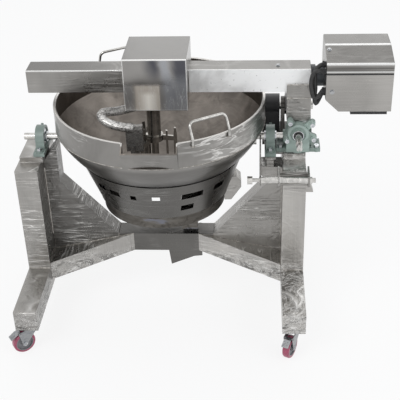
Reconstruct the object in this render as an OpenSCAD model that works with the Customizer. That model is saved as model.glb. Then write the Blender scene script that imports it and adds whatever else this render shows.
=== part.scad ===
// Tilting cooking mixer: a round-bottomed pot on trunnions over a gas furnace,
// a mobile welded frame, and a planetary stirring head that swings back on a hinge.
// X runs to the right, Y away from the viewer, Z up. The origin is on the floor,
// under the middle of the whole machine. Lengths are millimetres.

/* [Pot] */
// Outer diameter of the pot at its rim
rim_d = 900; // [860:10:920]
// Thickness of the pot's sheet
pot_wall = 6; // [4:1:8]
// Height of the tilting axis above the floor
trunnion_h = 815; // [780:5:860]
// Height of the rim above the tilting axis
rim_rise = 190; // [175:5:195]
// Height of the straight collar below the rim
collar_h = 110; // [90:5:120]
// Outer radius of the dished bottom
dish_r = 500; // [480:5:520]
// Diameter of the rolled edge at the rim
bead_d = 12; // [8:1:16]
// Width of the pouring spout
spout_w = 220; // [160:10:260]
// How far the spout's lip leans out from its foot
spout_lean = 34; // [20:2:50]
// How far the spout's lip lies below the rim
spout_drop = 24; // [15:1:35]
// Thickness of the spout's sheet
spout_t = 5; // [3:1:6]

/* [Pot handles] */
// Diameter of the handle rod
handle_rod = 12; // [10:1:16]
// Width of a handle between its legs
handle_span = 163; // [130:1:200]
// Height of the grip above the rim
handle_rise = 72; // [50:1:90]
// Bend radius of the rod at the grip's corners
handle_bend = 22; // [18:1:30]
// Angle that the grips lean in over the pot
handle_lean = 25; // [0:5:30]
// Direction of the front handle, in degrees from +X
handle_dir = -58; // [-70:1:-50]

/* [Furnace] */
// How far the shroud's top edge lies below the tilting axis
shroud_drop = 57; // [57:1:70]
// Height of the tapered shroud
shroud_h = 188; // [160:4:210]
// Diameter of the shroud at its lower edge
shroud_foot_d = 570; // [540:5:600]
// Thickness of the furnace sheet
furnace_t = 4; // [3:1:5]
// Height of the straight ring below the shroud
furnace_ring_h = 58; // [40:2:70]
// Diameter of the tube of the burner ring
burner_tube = 34; // [26:2:40]
// Diameter of the burner ring at its tube's middle
burner_d = 300; // [240:10:340]

/* [Trunnions and bearings] */
// Diameter of the trunnion shafts
trunnion_d = 30; // [28:1:34]
// Radial running clearance of every shaft in its bore
run_fit = 0.05; // [0.03:0.01:0.08]
// Middle of the left bearing, measured from the pot's axis
left_bearing_x = 530; // [526:1:536]
// Middle of the right bearing, measured from the pot's axis
right_bearing_x = 473; // [470:1:480]
// Height of the bearing centre above its foot
bearing_rise = 54; // [52:1:58]
// Width of a bearing housing along its shaft
bearing_w = 38; // [32:1:42]
// Width of a bearing foot along its shaft
bearing_foot_w = 48; // [44:1:50]
// Length of a bearing foot across its shaft
bearing_foot_l = 184; // [176:2:190]
// Outer radius of a bearing housing
bearing_r = 51; // [48:1:52]
// Distance between the two foot bolts of a bearing
bearing_bolts_l = 144; // [136:2:148]

/* [Frame] */
// Width of a stand, as its box section
stand_w = 100; // [90:2:104]
// Middle of each stand, measured from the pot's axis
stand_x = 575; // [570:1:580]
// Depth of a stand's upright, front to back
upright_d = 346; // [330:2:370]
// Length of a stand's foot, front to back
foot_l = 1004; // [940:4:1060]
// Height of the section of a stand's foot
foot_h = 98; // [86:2:110]
// Wall of the box sections
tube_t = 4; // [3:1:6]
// Side of the cradle's square section
cradle_w = 92; // [80:2:100]
// Height of the cradle's underside above the floor
cradle_z = 243; // [230:1:260]
// Length of the cradle's straight middle beam
cradle_l = 438; // [400:2:480]
// Drop of a strut from the beam out to its foot
strut_drop = 84; // [60:2:100]
// Width of a web beside its stand
web_head_w = 62; // [40:2:80]
// Thickness of the plate at the right bearing's inner side
side_plate_t = 6; // [5:1:8]
// Height at which a web leaves its upright edge
web_knee_z = 606; // [580:2:640]

/* [Tilting gear] */
// Distance between the worm and the worm wheel
gear_centres = 50; // [48:1:56]
// Turns of the worm for one turn of the wheel
worm_ratio = 40; // [30:1:60]
// Diameter of the worm shaft
worm_d = 28; // [22:1:30]
// How far the worm shaft stands out in front
worm_reach = 118; // [90:2:124]
// Height of the risers on the stands, under the bearings and the gear case
riser_h = 28; // [20:1:34]
// Thickness of the gear case's foot
gear_foot_t = 18; // [14:1:22]
// Diameter of the cross shaft at the right stand
cross_d = 30; // [24:1:36]

/* [Head] */
// Side of the head's square tube
beam_w = 100; // [90:2:104]
// Height of the beam's underside above the tilting axis
beam_rise = 230; // [226:1:240]
// Left end of the beam, measured from the pot's axis
beam_left = 550; // [500:5:580]
// Right end of the beam, measured from the pot's axis
beam_right = 637; // [632:1:642]
// Side of the square gear cover
cover_w = 262; // [240:2:280]
// Height of the gear cover
cover_h = 225; // [200:5:250]
// How far the gear cover reaches below the beam
cover_drop = 46; // [40:1:50]
// Thickness of the cover and hood sheet
sheet_t = 3; // [2:0.5:4]
// Middle of the post, measured from the pot's axis
post_x = 590; // [586:1:594]
// Distance of the head's hinge behind the tilting axis
hinge_y = 250; // [244:1:256]
// Height of the head's hinge above the tilting axis
hinge_rise = 30; // [26:1:36]
// Diameter of the hinge shaft
hinge_d = 40; // [30:1:44]

/* [Stirrer] */
// Diameter of the main shaft
main_d = 46; // [40:2:50]
// Outer diameter of the fixed sleeve round the main shaft
sleeve_d = 60; // [56:1:62]
// Distance from the main shaft to the planet shaft
planet_offset = 66; // [64:1:68]
// Teeth of the fixed sun gear
sun_teeth = 36; // [36:1:36]
// Teeth of the planet gear
planet_teeth = 30; // [30:1:30]
// Turns of the drive shaft for one turn of the main shaft
bevel_ratio = 2; // [2:1:3]
// Diameter of the planet shaft in the gear case
planet_d = 32; // [24:1:34]
// Diameter of the stirring shaft below the gear case
stir_d = 58; // [50:2:62]
// Diameter of the scraper's tube
arm_d = 38; // [32:1:42]
// Radius of the curve that the scraper edge follows
scrape_r = 370; // [350:2:374]
// Clearance between the scraper and the pot's bottom
scrape_gap = 34; // [30:1:44]
// Radius swept by the agitator about its own shaft
agitator_r = 96; // [86:2:98]

/* [Motor] */
// Right end of the motor hood, measured from the pot's axis
hood_right = 960; // [920:5:1000]
// Left end of the motor hood, measured from the pot's axis
hood_left = 692; // [690:1:700]
// Depth of the motor hood, front to back
hood_d = 262; // [240:2:280]
// Height of the motor tray
tray_h = 158; // [140:2:180]
// Diameter of the motor
motor_d = 140; // [120:2:150]
// Diameter of the drive shaft
drive_d = 24; // [20:1:30]

/* [Casters] */
// Diameter of a caster wheel
wheel_d = 100; // [90:1:104]
// Width of a caster wheel
wheel_w = 30; // [24:1:34]
// Height of a caster from the floor to its plate
caster_h = 128; // [124:1:136]
// Distance from the swivel axis to the wheel's axle
caster_trail = 36; // [30:1:40]
// Distance from the foot's end to a swivel axis
caster_inset = 46; // [44:1:60]
// Direction that the left casters trail, from straight out, in degrees
left_swivel = 55; // [40:1:60]
// Direction that the right casters trail, from straight out, in degrees
right_swivel = 25; // [10:1:40]

/* [Hidden] */
$fn = 72;

// Colours of the materials
steel = [0.62, 0.61, 0.59];
dark_steel = [0.36, 0.35, 0.33];
casting = [0.46, 0.52, 0.49];
zinc = [0.72, 0.73, 0.75];
black = [0.09, 0.09, 0.09];
crimson = [0.55, 0.25, 0.36];
ptfe = [0.9, 0.89, 0.85];

// The casters in order: left front, right front, left back, right back
CASTERS = [[-1, -1], [1, -1], [-1, 1], [1, 1]];
function caster_dir(i) =
    let (s = CASTERS[i], a = s[0] < 0 ? left_swivel : right_swivel)
    s[1] < 0 ? -90 - a : 90 + a;
caster_y = foot_l / 2 - caster_inset;
pedal_reach = caster_trail + 60;
pedal_w = 30;

// The whole machine is centred over the origin by the reach of its two ends
left_reach = stand_x + pedal_reach * sin(left_swivel) + pedal_w / 2 * cos(left_swivel);
pot_x = (left_reach - hood_right) / 2;

// Heights and radii of the pot
pot_r = rim_d / 2;
rim_z = trunnion_h + rim_rise;
collar_z = rim_z - collar_h;
dish_z = collar_z + sqrt(dish_r * dish_r - pot_r * pot_r);
function dish_at(z, r = dish_r) = sqrt(r * r - (dish_z - z) * (dish_z - z));

// Furnace
shroud_z = trunnion_h - shroud_drop;
shroud_foot_z = shroud_z - shroud_h;
ring_z = shroud_foot_z - furnace_ring_h;
shroud_top_r = dish_at(shroud_z) + 0.3 + furnace_t;
shroud_foot_r = shroud_foot_d / 2;
// Each vent: direction from the front in degrees, middle height above the foot, width, height
VENTS = [
    [-46, 124, 46, 26], [-33, 118, 52, 28], [27, 121, 100, 30], [24, 53, 56, 30], [50.5, 122, 56, 28],
    [-17, 118, 26, 24], [0, 121, 34, 24],
    [110, 114, 70, 30], [140, 114, 70, 30], [170, 114, 70, 30], [200, 114, 70, 30], [230, 114, 70, 30]
];
function shroud_r(h) = shroud_foot_r + (shroud_top_r - shroud_foot_r) * h / shroud_h;

// Frame
foot_z = caster_h;
seat_z = trunnion_h - bearing_rise;
stand_top = seat_z - riser_h;
cradle_top = cradle_z + cradle_w;
stand_in = stand_x - stand_w / 2;
stand_out = stand_x + stand_w / 2;
right_web_in = right_bearing_x - bearing_foot_w / 2 - 16;
side_plate_x = right_web_in - side_plate_t;
right_web_top = stand_top - 46;

// Tilting gear
worm_x = stand_x + 14;
worm_z = trunnion_h + gear_centres;
worm_r = worm_d / 2;
wheel_r = gear_centres - worm_r - 0.4;
case_r = 60;
flange_y = 62;
flange_t = 24;

// Head
beam_z = trunnion_h + beam_rise;
beam_mid = beam_z + beam_w / 2;
cover_z = beam_z - cover_drop;
hinge_z = trunnion_h + hinge_rise;
post_foot_z = beam_z - 134;
bevel_w = 180;

// Stirrer
scrape_z = dish_z - dish_r + pot_wall + scrape_gap + scrape_r;
case_z = cover_z + 2;
case_h = 36;
gear_z = case_z + 10;
gear_t = 18;
planet_dir = -110;
bevel_z = beam_z - 4;
gear_module = 2 * planet_offset / (sun_teeth + planet_teeth);
sun_r = gear_module * sun_teeth / 2;
planet_r = gear_module * planet_teeth / 2;

// Bevel pair that turns the main shaft
crown_r = 60;
pinion_r = crown_r / bevel_ratio;

// Motor
hood_z = beam_mid - 103;
tray_top = hood_z + tray_h;

// Route of the tied cables beside the beam's end, from the tray up to the hood
CABLE_R = 9;
CABLES = [
    [
        [hood_left - 0.3, -72, hood_z + 60], [hood_left - 5, -72, hood_z + 60],
        [hood_left - 10, -72, hood_z + 60], [670, -78, hood_z + 34], [657, -88, hood_z + 18],
        [650, -94, hood_z + 46], [652, -94, hood_z + 88], [649, -90, hood_z + 128],
        [652, -82, hood_z + 160], [666, -76, hood_z + 178], [hood_left - 10, -72, hood_z + 184],
        [hood_left - 5, -72, hood_z + 184], [hood_left - 0.3, -72, hood_z + 184]
    ],
    [
        [hood_left - 0.3, -96, hood_z + 80], [hood_left - 5, -96, hood_z + 80],
        [hood_left - 10, -96, hood_z + 80], [666, -104, hood_z + 60], [648, -112, hood_z + 54],
        [638, -110, hood_z + 80], [634, -102, hood_z + 118], [642, -98, hood_z + 154],
        [660, -96, hood_z + 166], [hood_left - 10, -96, hood_z + 160],
        [hood_left - 5, -96, hood_z + 160], [hood_left - 0.3, -96, hood_z + 160]
    ]
];

// Carries what is drawn round the pot's axis to its place over the floor
module at_pot() {
    translate([pot_x, 0, 0]) children();
}

// A round bar along X from x0 to x1, at height z
module bar_x(x0, x1, y, z, r) {
    translate([x0, y, z]) rotate([0, 90, 0]) cylinder(h = x1 - x0, r = r);
}

// A round bar along Y from y0 to y1
module bar_y(x, y0, y1, z, r) {
    translate([x, y1, z]) rotate([90, 0, 0]) cylinder(h = y1 - y0, r = r);
}

// A profile drawn in the YZ plane, extruded from x0 to x1
module along_x(x0, x1) {
    translate([x0, 0, 0]) rotate([90, 0, 90]) linear_extrude(x1 - x0) children();
}

// A profile drawn in the XZ plane, extruded from y0 to y1
module along_y(y0, y1) {
    translate([0, y1, 0]) rotate([90, 0, 0]) linear_extrude(y1 - y0) children();
}

module block(x0, x1, y0, y1, z0, z1) {
    translate([x0, y0, z0]) cube([x1 - x0, y1 - y0, z1 - z0]);
}

// Half profile of a stand seen from its side
module stand_profile(inset) {
    translate([-foot_l / 2 + inset, foot_z + inset])
        square([foot_l - 2 * inset, foot_h - 2 * inset]);
    translate([-upright_d / 2 + inset, foot_z + inset])
        square([upright_d - 2 * inset, stand_top - foot_z - 2 * inset]);
}

// One stand, a closed box with a foot to the front and to the back
module stand(side) {
    x0 = side * stand_x - stand_w / 2;
    difference() {
        along_x(x0, x0 + stand_w) stand_profile(0);
        along_x(x0 + tube_t, x0 + stand_w - tube_t) stand_profile(tube_t);
        for (s = [-1, 1])
            translate([side * stand_x, s * (upright_d / 2 + 60), foot_z - 1])
                cylinder(h = tube_t + 2, d = 14);
    }
}

module left_stand() {
    color(steel) at_pot() {
        stand(-1);
        block(-stand_out + 8, -left_bearing_x + 16, -96, 96, stand_top, seat_z);
        block(-stand_out + 8, -stand_in - 1, -96, 96, stand_top - 1, seat_z);
    }
}

// The right stand has a riser for the gear case and a small stop block on its outer side
module right_stand() {
    color(steel) at_pot() {
        stand(1);
        block(stand_in + 4, stand_out, -62, 62, stand_top - 1, seat_z);
        along_y(-upright_d / 2 + 34, -upright_d / 2 + 64) polygon([
            [stand_out - 0.5, stand_top - 56], [stand_out + 14, stand_top - 56],
            [stand_out + 34, stand_top - 120], [stand_out - 0.5, stand_top - 120]
        ]);
    }
}

// Middle beam of the cradle, open at its ends inside the webs, with a sheet bracket under it
module cradle_beam() {
    color(steel) at_pot() {
        difference() {
            block(-cradle_l / 2, cradle_l / 2, -cradle_w / 2, cradle_w / 2, cradle_z, cradle_top);
            block(-cradle_l / 2 - 1, cradle_l / 2 + 1, -cradle_w / 2 + tube_t, cradle_w / 2 - tube_t,
                cradle_z + tube_t, cradle_top - tube_t);
        }
        along_y(-38, -34) polygon([
            [8, cradle_z + 1], [164, cradle_z + 1], [164, cradle_z - 34], [126, cradle_z - 38], [18, cradle_z - 84]
        ]);
        along_x(122, 126) polygon([
            [-36, cradle_z + 1], [30, cradle_z + 1], [30, cradle_z - 16], [-36, cradle_z - 36]
        ]);
    }
}

// Outline of the left web seen from the front, drawn on the right
module left_web_outline() {
    polygon([
        [stand_in, cradle_z], [cradle_l / 2, cradle_z], [cradle_l / 2, cradle_top],
        [stand_in - web_head_w, web_knee_z], [stand_in - web_head_w, stand_top + 40],
        [stand_in - web_head_w + 8, stand_top + 56], [stand_in - 8, stand_top - 6], [stand_in, stand_top - 6]
    ]);
}

module left_web_hollow() {
    polygon([
        [stand_in + 1, cradle_z + tube_t], [cradle_l / 2 - 1, cradle_z + tube_t],
        [cradle_l / 2 - 1, cradle_top - tube_t], [cradle_l / 2 + tube_t, cradle_top - tube_t],
        [stand_in - web_head_w + tube_t, web_knee_z], [stand_in - web_head_w + tube_t, stand_top + 38],
        [stand_in - web_head_w + 12, stand_top + 44], [stand_in - 12, stand_top - 12], [stand_in + 1, stand_top - 12]
    ]);
}

// Outline of the right web, which stops below the bearing
module right_web_outline() {
    polygon([
        [stand_in, cradle_z], [cradle_l / 2, cradle_z], [cradle_l / 2, cradle_top],
        [stand_in - web_head_w, web_knee_z], [right_web_in, web_knee_z + 40],
        [right_web_in, right_web_top], [stand_in, right_web_top]
    ]);
}

module right_web_hollow() {
    polygon([
        [stand_in + 1, cradle_z + tube_t], [cradle_l / 2 - 1, cradle_z + tube_t],
        [cradle_l / 2 - 1, cradle_top - tube_t], [cradle_l / 2 + tube_t, cradle_top - tube_t],
        [stand_in - web_head_w + tube_t, web_knee_z + 2], [right_web_in + tube_t, web_knee_z + 44],
        [right_web_in + tube_t, right_web_top - tube_t], [stand_in + 1, right_web_top - tube_t]
    ]);
}

// Plate beside the right bearing: its front lobe holds the cross shaft
module side_plate() {
    difference() {
        along_x(side_plate_x, side_plate_x + side_plate_t) {
            polygon([
                [cradle_w / 2, web_knee_z + 40], [cradle_w / 2, trunnion_h - 20], [24, trunnion_h + 26],
                [-36, trunnion_h + 26], [cross_y - 12, cross_z + 16], [cross_y - 20, cross_z - 6],
                [cross_y + 2, cross_z - 24], [-cradle_w / 2, web_knee_z + 30]
            ]);
            translate([cross_y, cross_z]) circle(22);
        }
        bar_x(side_plate_x - 1, side_plate_x + side_plate_t + 1, 0, trunnion_h, trunnion_d / 2 + 4);
        bar_x(side_plate_x - 1, side_plate_x + side_plate_t + 1, cross_y, cross_z, cross_d / 2);
    }
}

// Upright that carries the right bearing's foot, standing on the web
module bearing_post() {
    block(right_bearing_x - 16, right_bearing_x + 16, -cradle_w / 2, cradle_w / 2, right_web_top - 1, seat_z - 10);
    block(right_bearing_x - bearing_foot_w / 2, right_bearing_x + bearing_foot_w / 2, -96, 96, seat_z - 10, seat_z);
    block(right_bearing_x + 16, stand_in + 4, -30, 30, seat_z - 20, seat_z);
}

module cradle_webs() {
    color(steel) at_pot() {
        mirror([1, 0, 0]) difference() {
            along_y(-cradle_w / 2, cradle_w / 2) left_web_outline();
            along_y(-cradle_w / 2 + tube_t, cradle_w / 2 - tube_t) left_web_hollow();
        }
        difference() {
            along_y(-cradle_w / 2, cradle_w / 2) right_web_outline();
            along_y(-cradle_w / 2 + tube_t, cradle_w / 2 - tube_t) right_web_hollow();
        }
        side_plate();
        bearing_post();
    }
}

// Plan of one strut, from the cradle's beam out to the corner of an upright
module strut_plan() {
    polygon([
        [cradle_l / 2 - 70, cradle_w / 2],
        [stand_in - 0.2, upright_d / 2 - 4],
        [stand_in - 0.2, cradle_w / 2]
    ]);
}

// One strut: a sheet box that falls from the beam to the upright's corner
module strut() {
    difference() {
        intersection() {
            translate([0, 0, cradle_z - strut_drop]) linear_extrude(cradle_w + strut_drop) strut_plan();
            along_y(cradle_w / 2, upright_d / 2) polygon([
                [cradle_l / 2 - 70, cradle_top],
                [stand_in, cradle_top - strut_drop],
                [stand_in, cradle_z - strut_drop],
                [cradle_l / 2 - 70, cradle_z]
            ]);
        }
        intersection() {
            translate([0, 0, cradle_z - strut_drop]) linear_extrude(cradle_w + strut_drop) polygon([
                [cradle_l / 2 - 70 + 3 * tube_t, cradle_w / 2 + tube_t],
                [stand_in + 1, upright_d / 2 - 2.5 * tube_t],
                [stand_in + 1, cradle_w / 2 + tube_t]
            ]);
            along_y(cradle_w / 2, upright_d / 2) polygon([
                [cradle_l / 2 - 70, cradle_top - tube_t],
                [stand_in + 1, cradle_top - strut_drop - tube_t],
                [stand_in + 1, cradle_z - strut_drop + tube_t],
                [cradle_l / 2 - 70, cradle_z + tube_t]
            ]);
        }
    }
}

module struts() {
    color(steel) at_pot()
        for (sx = [0, 1])
            for (sy = [0, 1])
                mirror([sx, 0, 0]) mirror([0, sy, 0]) strut();
}

insert_r = bearing_r - 17;
bearing_foot_t = 20;
bolt_r = 6;

// A pillow block housing with its middle at x and its foot at height z
module bearing_housing(x, z) {
    zc = z + bearing_rise;
    difference() {
        union() {
            bar_x(x - bearing_w / 2, x + bearing_w / 2, 0, zc, bearing_r);
            along_x(x - bearing_w / 2, x + bearing_w / 2) polygon([
                [-bearing_r - 6, z], [bearing_r + 6, z], [bearing_r + 2, z + bearing_foot_t + 4],
                [bearing_r * 0.96, zc - 6], [-bearing_r * 0.96, zc - 6], [-bearing_r - 2, z + bearing_foot_t + 4]
            ]);
            block(x - bearing_foot_w / 2, x + bearing_foot_w / 2, -bearing_foot_l / 2, bearing_foot_l / 2,
                z, z + bearing_foot_t - 4);
            for (s = [-1, 1])
                translate([x, s * bearing_bolts_l / 2, z]) cylinder(h = bearing_foot_t, r = 17);
            translate([x, 0, zc]) rotate([-38, 0, 0]) cylinder(h = bearing_r + 7, r = 6, $fn = 6);
        }
        bar_x(x - bearing_w, x + bearing_w, 0, zc, insert_r);
        for (s = [-1, 1]) {
            bar_x(x + s * (bearing_w / 2) - 4, x + s * (bearing_w / 2) + 4, 0, zc, insert_r + 6);
            translate([x, s * bearing_bolts_l / 2, z - 1]) cylinder(h = 40, r = bolt_r + 0.5);
        }
    }
}

module left_bearing() {
    color(casting) at_pot() bearing_housing(-left_bearing_x, seat_z);
}

module right_bearing() {
    color(casting) at_pot() bearing_housing(right_bearing_x, seat_z);
}

// The two bearing rings, each with a locking collar on its outer side
module bearing_inserts() {
    color(zinc) at_pot()
        for (x = [-left_bearing_x, right_bearing_x])
            difference() {
                union() {
                    bar_x(x - bearing_w / 2 + 4, x + bearing_w / 2 - 4, 0, trunnion_h, insert_r);
                    bar_x(x - bearing_w / 2 - 7, x + bearing_w / 2 + 7, 0, trunnion_h, trunnion_d / 2 + 8);
                }
                bar_x(x - bearing_w, x + bearing_w, 0, trunnion_h, trunnion_d / 2 + run_fit);
            }
}

// A hexagon bolt standing on a face at height z
module foot_bolt(x, y, z, depth) {
    translate([x, y, z - depth]) cylinder(h = depth + 4, r = bolt_r);
    translate([x, y, z]) difference() {
        cylinder(h = 11, r = 11, $fn = 6);
        translate([0, 0, 9]) cylinder(h = 3, r = bolt_r - 2);
    }
}

module frame_bolts() {
    color(zinc) at_pot() {
        for (x = [-left_bearing_x, right_bearing_x])
            for (s = [-1, 1])
                foot_bolt(x, s * bearing_bolts_l / 2, seat_z + bearing_foot_t + 0.02, bearing_foot_t - 1);
        for (p = FLANGE_LUGS)
            translate([worm_x + p[0], -flange_y - flange_t - 0.02, worm_z + p[1]])
                rotate([90, 0, 0]) difference() {
                    cylinder(h = 9, r = 9);
                    translate([0, 0, 4]) cylinder(h = 6, r = 5, $fn = 6);
                }
        for (p = GEAR_FOOT_BOLTS)
            foot_bolt(worm_x + p[0], p[1], seat_z + gear_foot_t + 0.02, gear_foot_t - 2);
    }
}

// Case of the worm gear on its own foot, with a lug for each bolt of the front flange
FLANGE_LUGS = [[58, 44], [66, -24], [-46, -30], [-34, 52]];
GEAR_FOOT_BOLTS = [[82, -34], [82, 34], [-72, -34], [-72, 34]];
case_x0 = worm_x - 50;
case_x1 = worm_x + 52;

// Outline of the case and its flange seen from the front, round the worm
module case_outline(grow) {
    circle(46 + grow);
    translate([0, -gear_centres]) circle(case_r - 12 + grow);
    polygon([
        [-46 - grow, 0], [46 + grow, 0], [case_r - 10 + grow, -gear_centres], [case_r - 10 + grow, seat_z - worm_z + 12],
        [-case_r + 10 - grow, seat_z - worm_z + 12], [-case_r + 12 - grow, -gear_centres]
    ]);
    for (p = FLANGE_LUGS) {
        translate(p) circle(14 + grow);
        polygon([[p[0] * 0.3 - p[1] * 0.2, p[1] * 0.3 + p[0] * 0.2], [p[0] * 0.3 + p[1] * 0.2, p[1] * 0.3 - p[0] * 0.2],
            [p[0] + p[1] * 0.2, p[1] - p[0] * 0.2], [p[0] - p[1] * 0.2, p[1] + p[0] * 0.2]]);
    }
}

module gearbox_housing() {
    color(casting) at_pot() difference() {
        union() {
            bar_x(case_x0, case_x1, 0, trunnion_h, case_r - 6);
            bar_y(worm_x, -flange_y, flange_y, worm_z, 38);
            translate([worm_x, -flange_y + 10, worm_z]) rotate([90, 0, 0]) linear_extrude(10) case_outline(0);
            block(case_x0 + 8, case_x1 - 8, -46, 46, seat_z, trunnion_h);
            bar_x(case_x0 - 12, case_x0 + 1, 0, trunnion_h, 30);
            bar_x(case_x1 - 1, case_x1 + 8, 0, trunnion_h, 40);
            bar_y(worm_x, flange_y - 1, flange_y + 8, worm_z, 30);
            block(worm_x - 90, worm_x + 98, -46, 46, seat_z, seat_z + gear_foot_t);
            for (p = GEAR_FOOT_BOLTS)
                translate([worm_x + p[0], p[1], seat_z]) cylinder(h = gear_foot_t, r = 15);
            for (x = [case_x1 - 14, case_x0 + 4])
                along_x(x, x + 10) polygon([
                    [-46, seat_z], [46, seat_z], [40, trunnion_h + 20], [-40, trunnion_h + 20]
                ]);
        }
        bar_x(case_x0 + 12, case_x1 - 10, 0, trunnion_h, wheel_r + 4);
        bar_x(case_x0 - 13, case_x0 + 13, 0, trunnion_h, trunnion_d / 2 + run_fit);
        bar_y(worm_x, -flange_y + 8, flange_y - 8, worm_z, worm_r + 4);
        bar_y(worm_x, -flange_y - 1, -flange_y + 9, worm_z, worm_r + run_fit);
        for (p = GEAR_FOOT_BOLTS)
            translate([worm_x + p[0], p[1], seat_z - 1]) cylinder(h = gear_foot_t + 2, r = bolt_r + 0.5);
    }
}

// Front flange of the gear case, stepped up to the worm shaft's seal
module gearbox_flange() {
    y0 = -flange_y - flange_t;
    color(casting) at_pot() difference() {
        union() {
            translate([worm_x, -flange_y, worm_z]) rotate([90, 0, 0]) linear_extrude(10) case_outline(-1);
            bar_y(worm_x, y0, -flange_y - 9, worm_z, 44);
            for (p = FLANGE_LUGS)
                bar_y(worm_x + p[0], y0, -flange_y - 9, worm_z + p[1], 12);
            bar_y(worm_x, y0 - 14, y0 + 8, worm_z, 21);
        }
        bar_y(worm_x, y0 - 20, -flange_y + 1, worm_z, worm_r + run_fit);
        difference() {
            bar_y(worm_x, y0 - 1, y0 + 7, worm_z, 33);
            bar_y(worm_x, y0 - 2, y0 + 8, worm_z, 21);
        }
    }
}

// The cross shaft and its bracket on the front of the right upright
cross_y = -upright_d / 2 - 32;
cross_z = stand_top - 22;

module cross_shaft_bracket() {
    color(steel) at_pot() difference() {
        union() {
            for (x = [stand_in - 22, stand_out + 4])
                along_x(x, x + 8) polygon([
                    [-upright_d / 2, cross_z - 42], [cross_y - 14, cross_z - 26],
                    [cross_y - 22, cross_z], [cross_y - 18, cross_z + 26], [-upright_d / 2 + 30, cross_z + 34],
                    [-upright_d / 2 + 30, cross_z - 42]
                ]);
            block(stand_in - 22, stand_out + 12, -upright_d / 2 - 5, -upright_d / 2, cross_z - 42, cross_z + 21);
            block(stand_in - 15, stand_in, -upright_d / 2, -upright_d / 2 + 30, cross_z - 42, cross_z - 36);
            block(stand_out, stand_out + 5, -upright_d / 2, -upright_d / 2 + 30, cross_z - 42, cross_z - 36);
        }
        bar_x(stand_in - 40, stand_out + 40, cross_y, cross_z, cross_d / 2);
    }
}

module cross_shaft() {
    color(steel) at_pot() {
        bar_x(side_plate_x - 2, stand_out + 22, cross_y, cross_z, cross_d / 2);
        translate([stand_out + 22, cross_y, cross_z]) rotate([0, 90, 0]) cylinder(h = 14, r = 12, $fn = 6);
        bar_x(side_plate_x - 30, side_plate_x - 2, cross_y, cross_z, 8);
        bar_x(side_plate_x - 52, side_plate_x - 30, cross_y, cross_z, 17);
    }
}

// Bracket that carries the head's hinge behind the right upright
lug_gap = 0.4;
lug_t = 16;

module hinge_lug(x) {
    along_x(x, x + lug_t) {
        polygon([
            [upright_d / 2 - 90, stand_top + 12], [hinge_y + 30, stand_top + 12],
            [hinge_y + 38, hinge_z], [hinge_y - 38, hinge_z + 4]
        ]);
        translate([hinge_y, hinge_z]) circle(40);
    }
}

module hinge_bracket() {
    x0 = post_x - beam_w / 2 - lug_gap - lug_t;
    x1 = post_x + beam_w / 2 + lug_gap;
    color(dark_steel) at_pot() difference() {
        union() {
            block(right_bearing_x - 34, x1 + lug_t, upright_d / 2 - 96, hinge_y + 34, stand_top, stand_top + 12);
            hinge_lug(x0);
            hinge_lug(x1);
            along_x(x0, x1 + lug_t) polygon([
                [upright_d / 2, stand_top], [hinge_y + 20, stand_top], [upright_d / 2, stand_top - 90]
            ]);
        }
        bar_x(x0 - 1, x1 + lug_t + 1, hinge_y, hinge_z, hinge_d / 2 + run_fit);
    }
}

// Black cast bearing on the inner side of the head's hinge
module hinge_bearing() {
    x0 = right_bearing_x - 30;
    x1 = post_x - beam_w / 2 - lug_gap - lug_t - 6;
    color(black) at_pot() difference() {
        union() {
            bar_x(x0, x1, hinge_y, hinge_z, 52);
            along_x(x0, x1) polygon([
                [hinge_y - 84, stand_top + 12], [hinge_y + 34, stand_top + 12],
                [hinge_y + 48, hinge_z], [hinge_y - 48, hinge_z]
            ]);
        }
        bar_x(x0 - 1, x1 + 1, hinge_y, hinge_z, hinge_d / 2 + run_fit);
    }
}

// Mounting plates and ball races of the four casters
module caster_plates() {
    color(zinc) at_pot()
        for (s = CASTERS)
            translate([s[0] * stand_x, s[1] * caster_y, caster_h]) difference() {
                union() {
                    translate([-43, -36, -4]) cube([86, 72, 4]);
                    translate([0, 0, -9]) cylinder(h = 6, r = 27);
                    for (x = [-34, 34])
                        for (y = [-26, 26])
                            translate([x, y, -9]) cylinder(h = 6, r = 7, $fn = 6);
                }
                translate([0, 0, -10]) cylinder(h = 7, r = 8 + run_fit);
            }
}

// Profile of the pot's sheet, from the axis out
module pot_profile() {
    translate([pot_r - pot_wall, collar_z]) square([pot_wall, collar_h]);
    translate([pot_r - bead_d / 2, rim_z - bead_d / 2 + 2]) circle(bead_d / 2);
    intersection() {
        difference() {
            translate([0, dish_z]) circle(dish_r, $fn = 200);
            translate([0, dish_z]) circle(dish_r - pot_wall, $fn = 200);
        }
        translate([0, dish_z - dish_r - 1]) square([pot_r + 1, collar_z - dish_z + dish_r + 1]);
    }
}

module pot_shell() {
    color(steel) at_pot() difference() {
        rotate_extrude($fn = 144) pot_profile();
        block(-spout_w / 2, spout_w / 2, -pot_r - 40, 0, collar_z, rim_z + bead_d);
    }
}

// Pouring spout: a leaning front panel with two cheeks, on a foot that follows the pot
spout_y = sqrt(pot_r * pot_r - spout_w * spout_w / 4);

module spout() {
    lip_z = rim_z - spout_drop;
    foot_y = -spout_y;
    color(steel) at_pot() {
        intersection() {
            translate([0, 0, collar_z]) cylinder(h = spout_t, r = pot_r, $fn = 144);
            block(-spout_w / 2, spout_w / 2, -pot_r - 1, foot_y + spout_t, collar_z, collar_z + spout_t);
        }
        along_x(-spout_w / 2, spout_w / 2) polygon([
            [foot_y, collar_z], [foot_y - spout_lean, lip_z], [foot_y - spout_lean - 14, lip_z],
            [foot_y - spout_lean - 14, lip_z - spout_t],
            [foot_y - spout_lean - spout_t * 0.6, lip_z - spout_t], [foot_y - spout_t, collar_z]
        ]);
        for (x = [-spout_w / 2, spout_w / 2 - spout_t])
            along_x(x, x + spout_t) polygon([
                [foot_y + pot_wall, collar_z], [foot_y - spout_t, collar_z],
                [foot_y - spout_lean - spout_t, lip_z], [foot_y, rim_z], [foot_y + pot_wall, rim_z]
            ]);
    }
}

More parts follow.
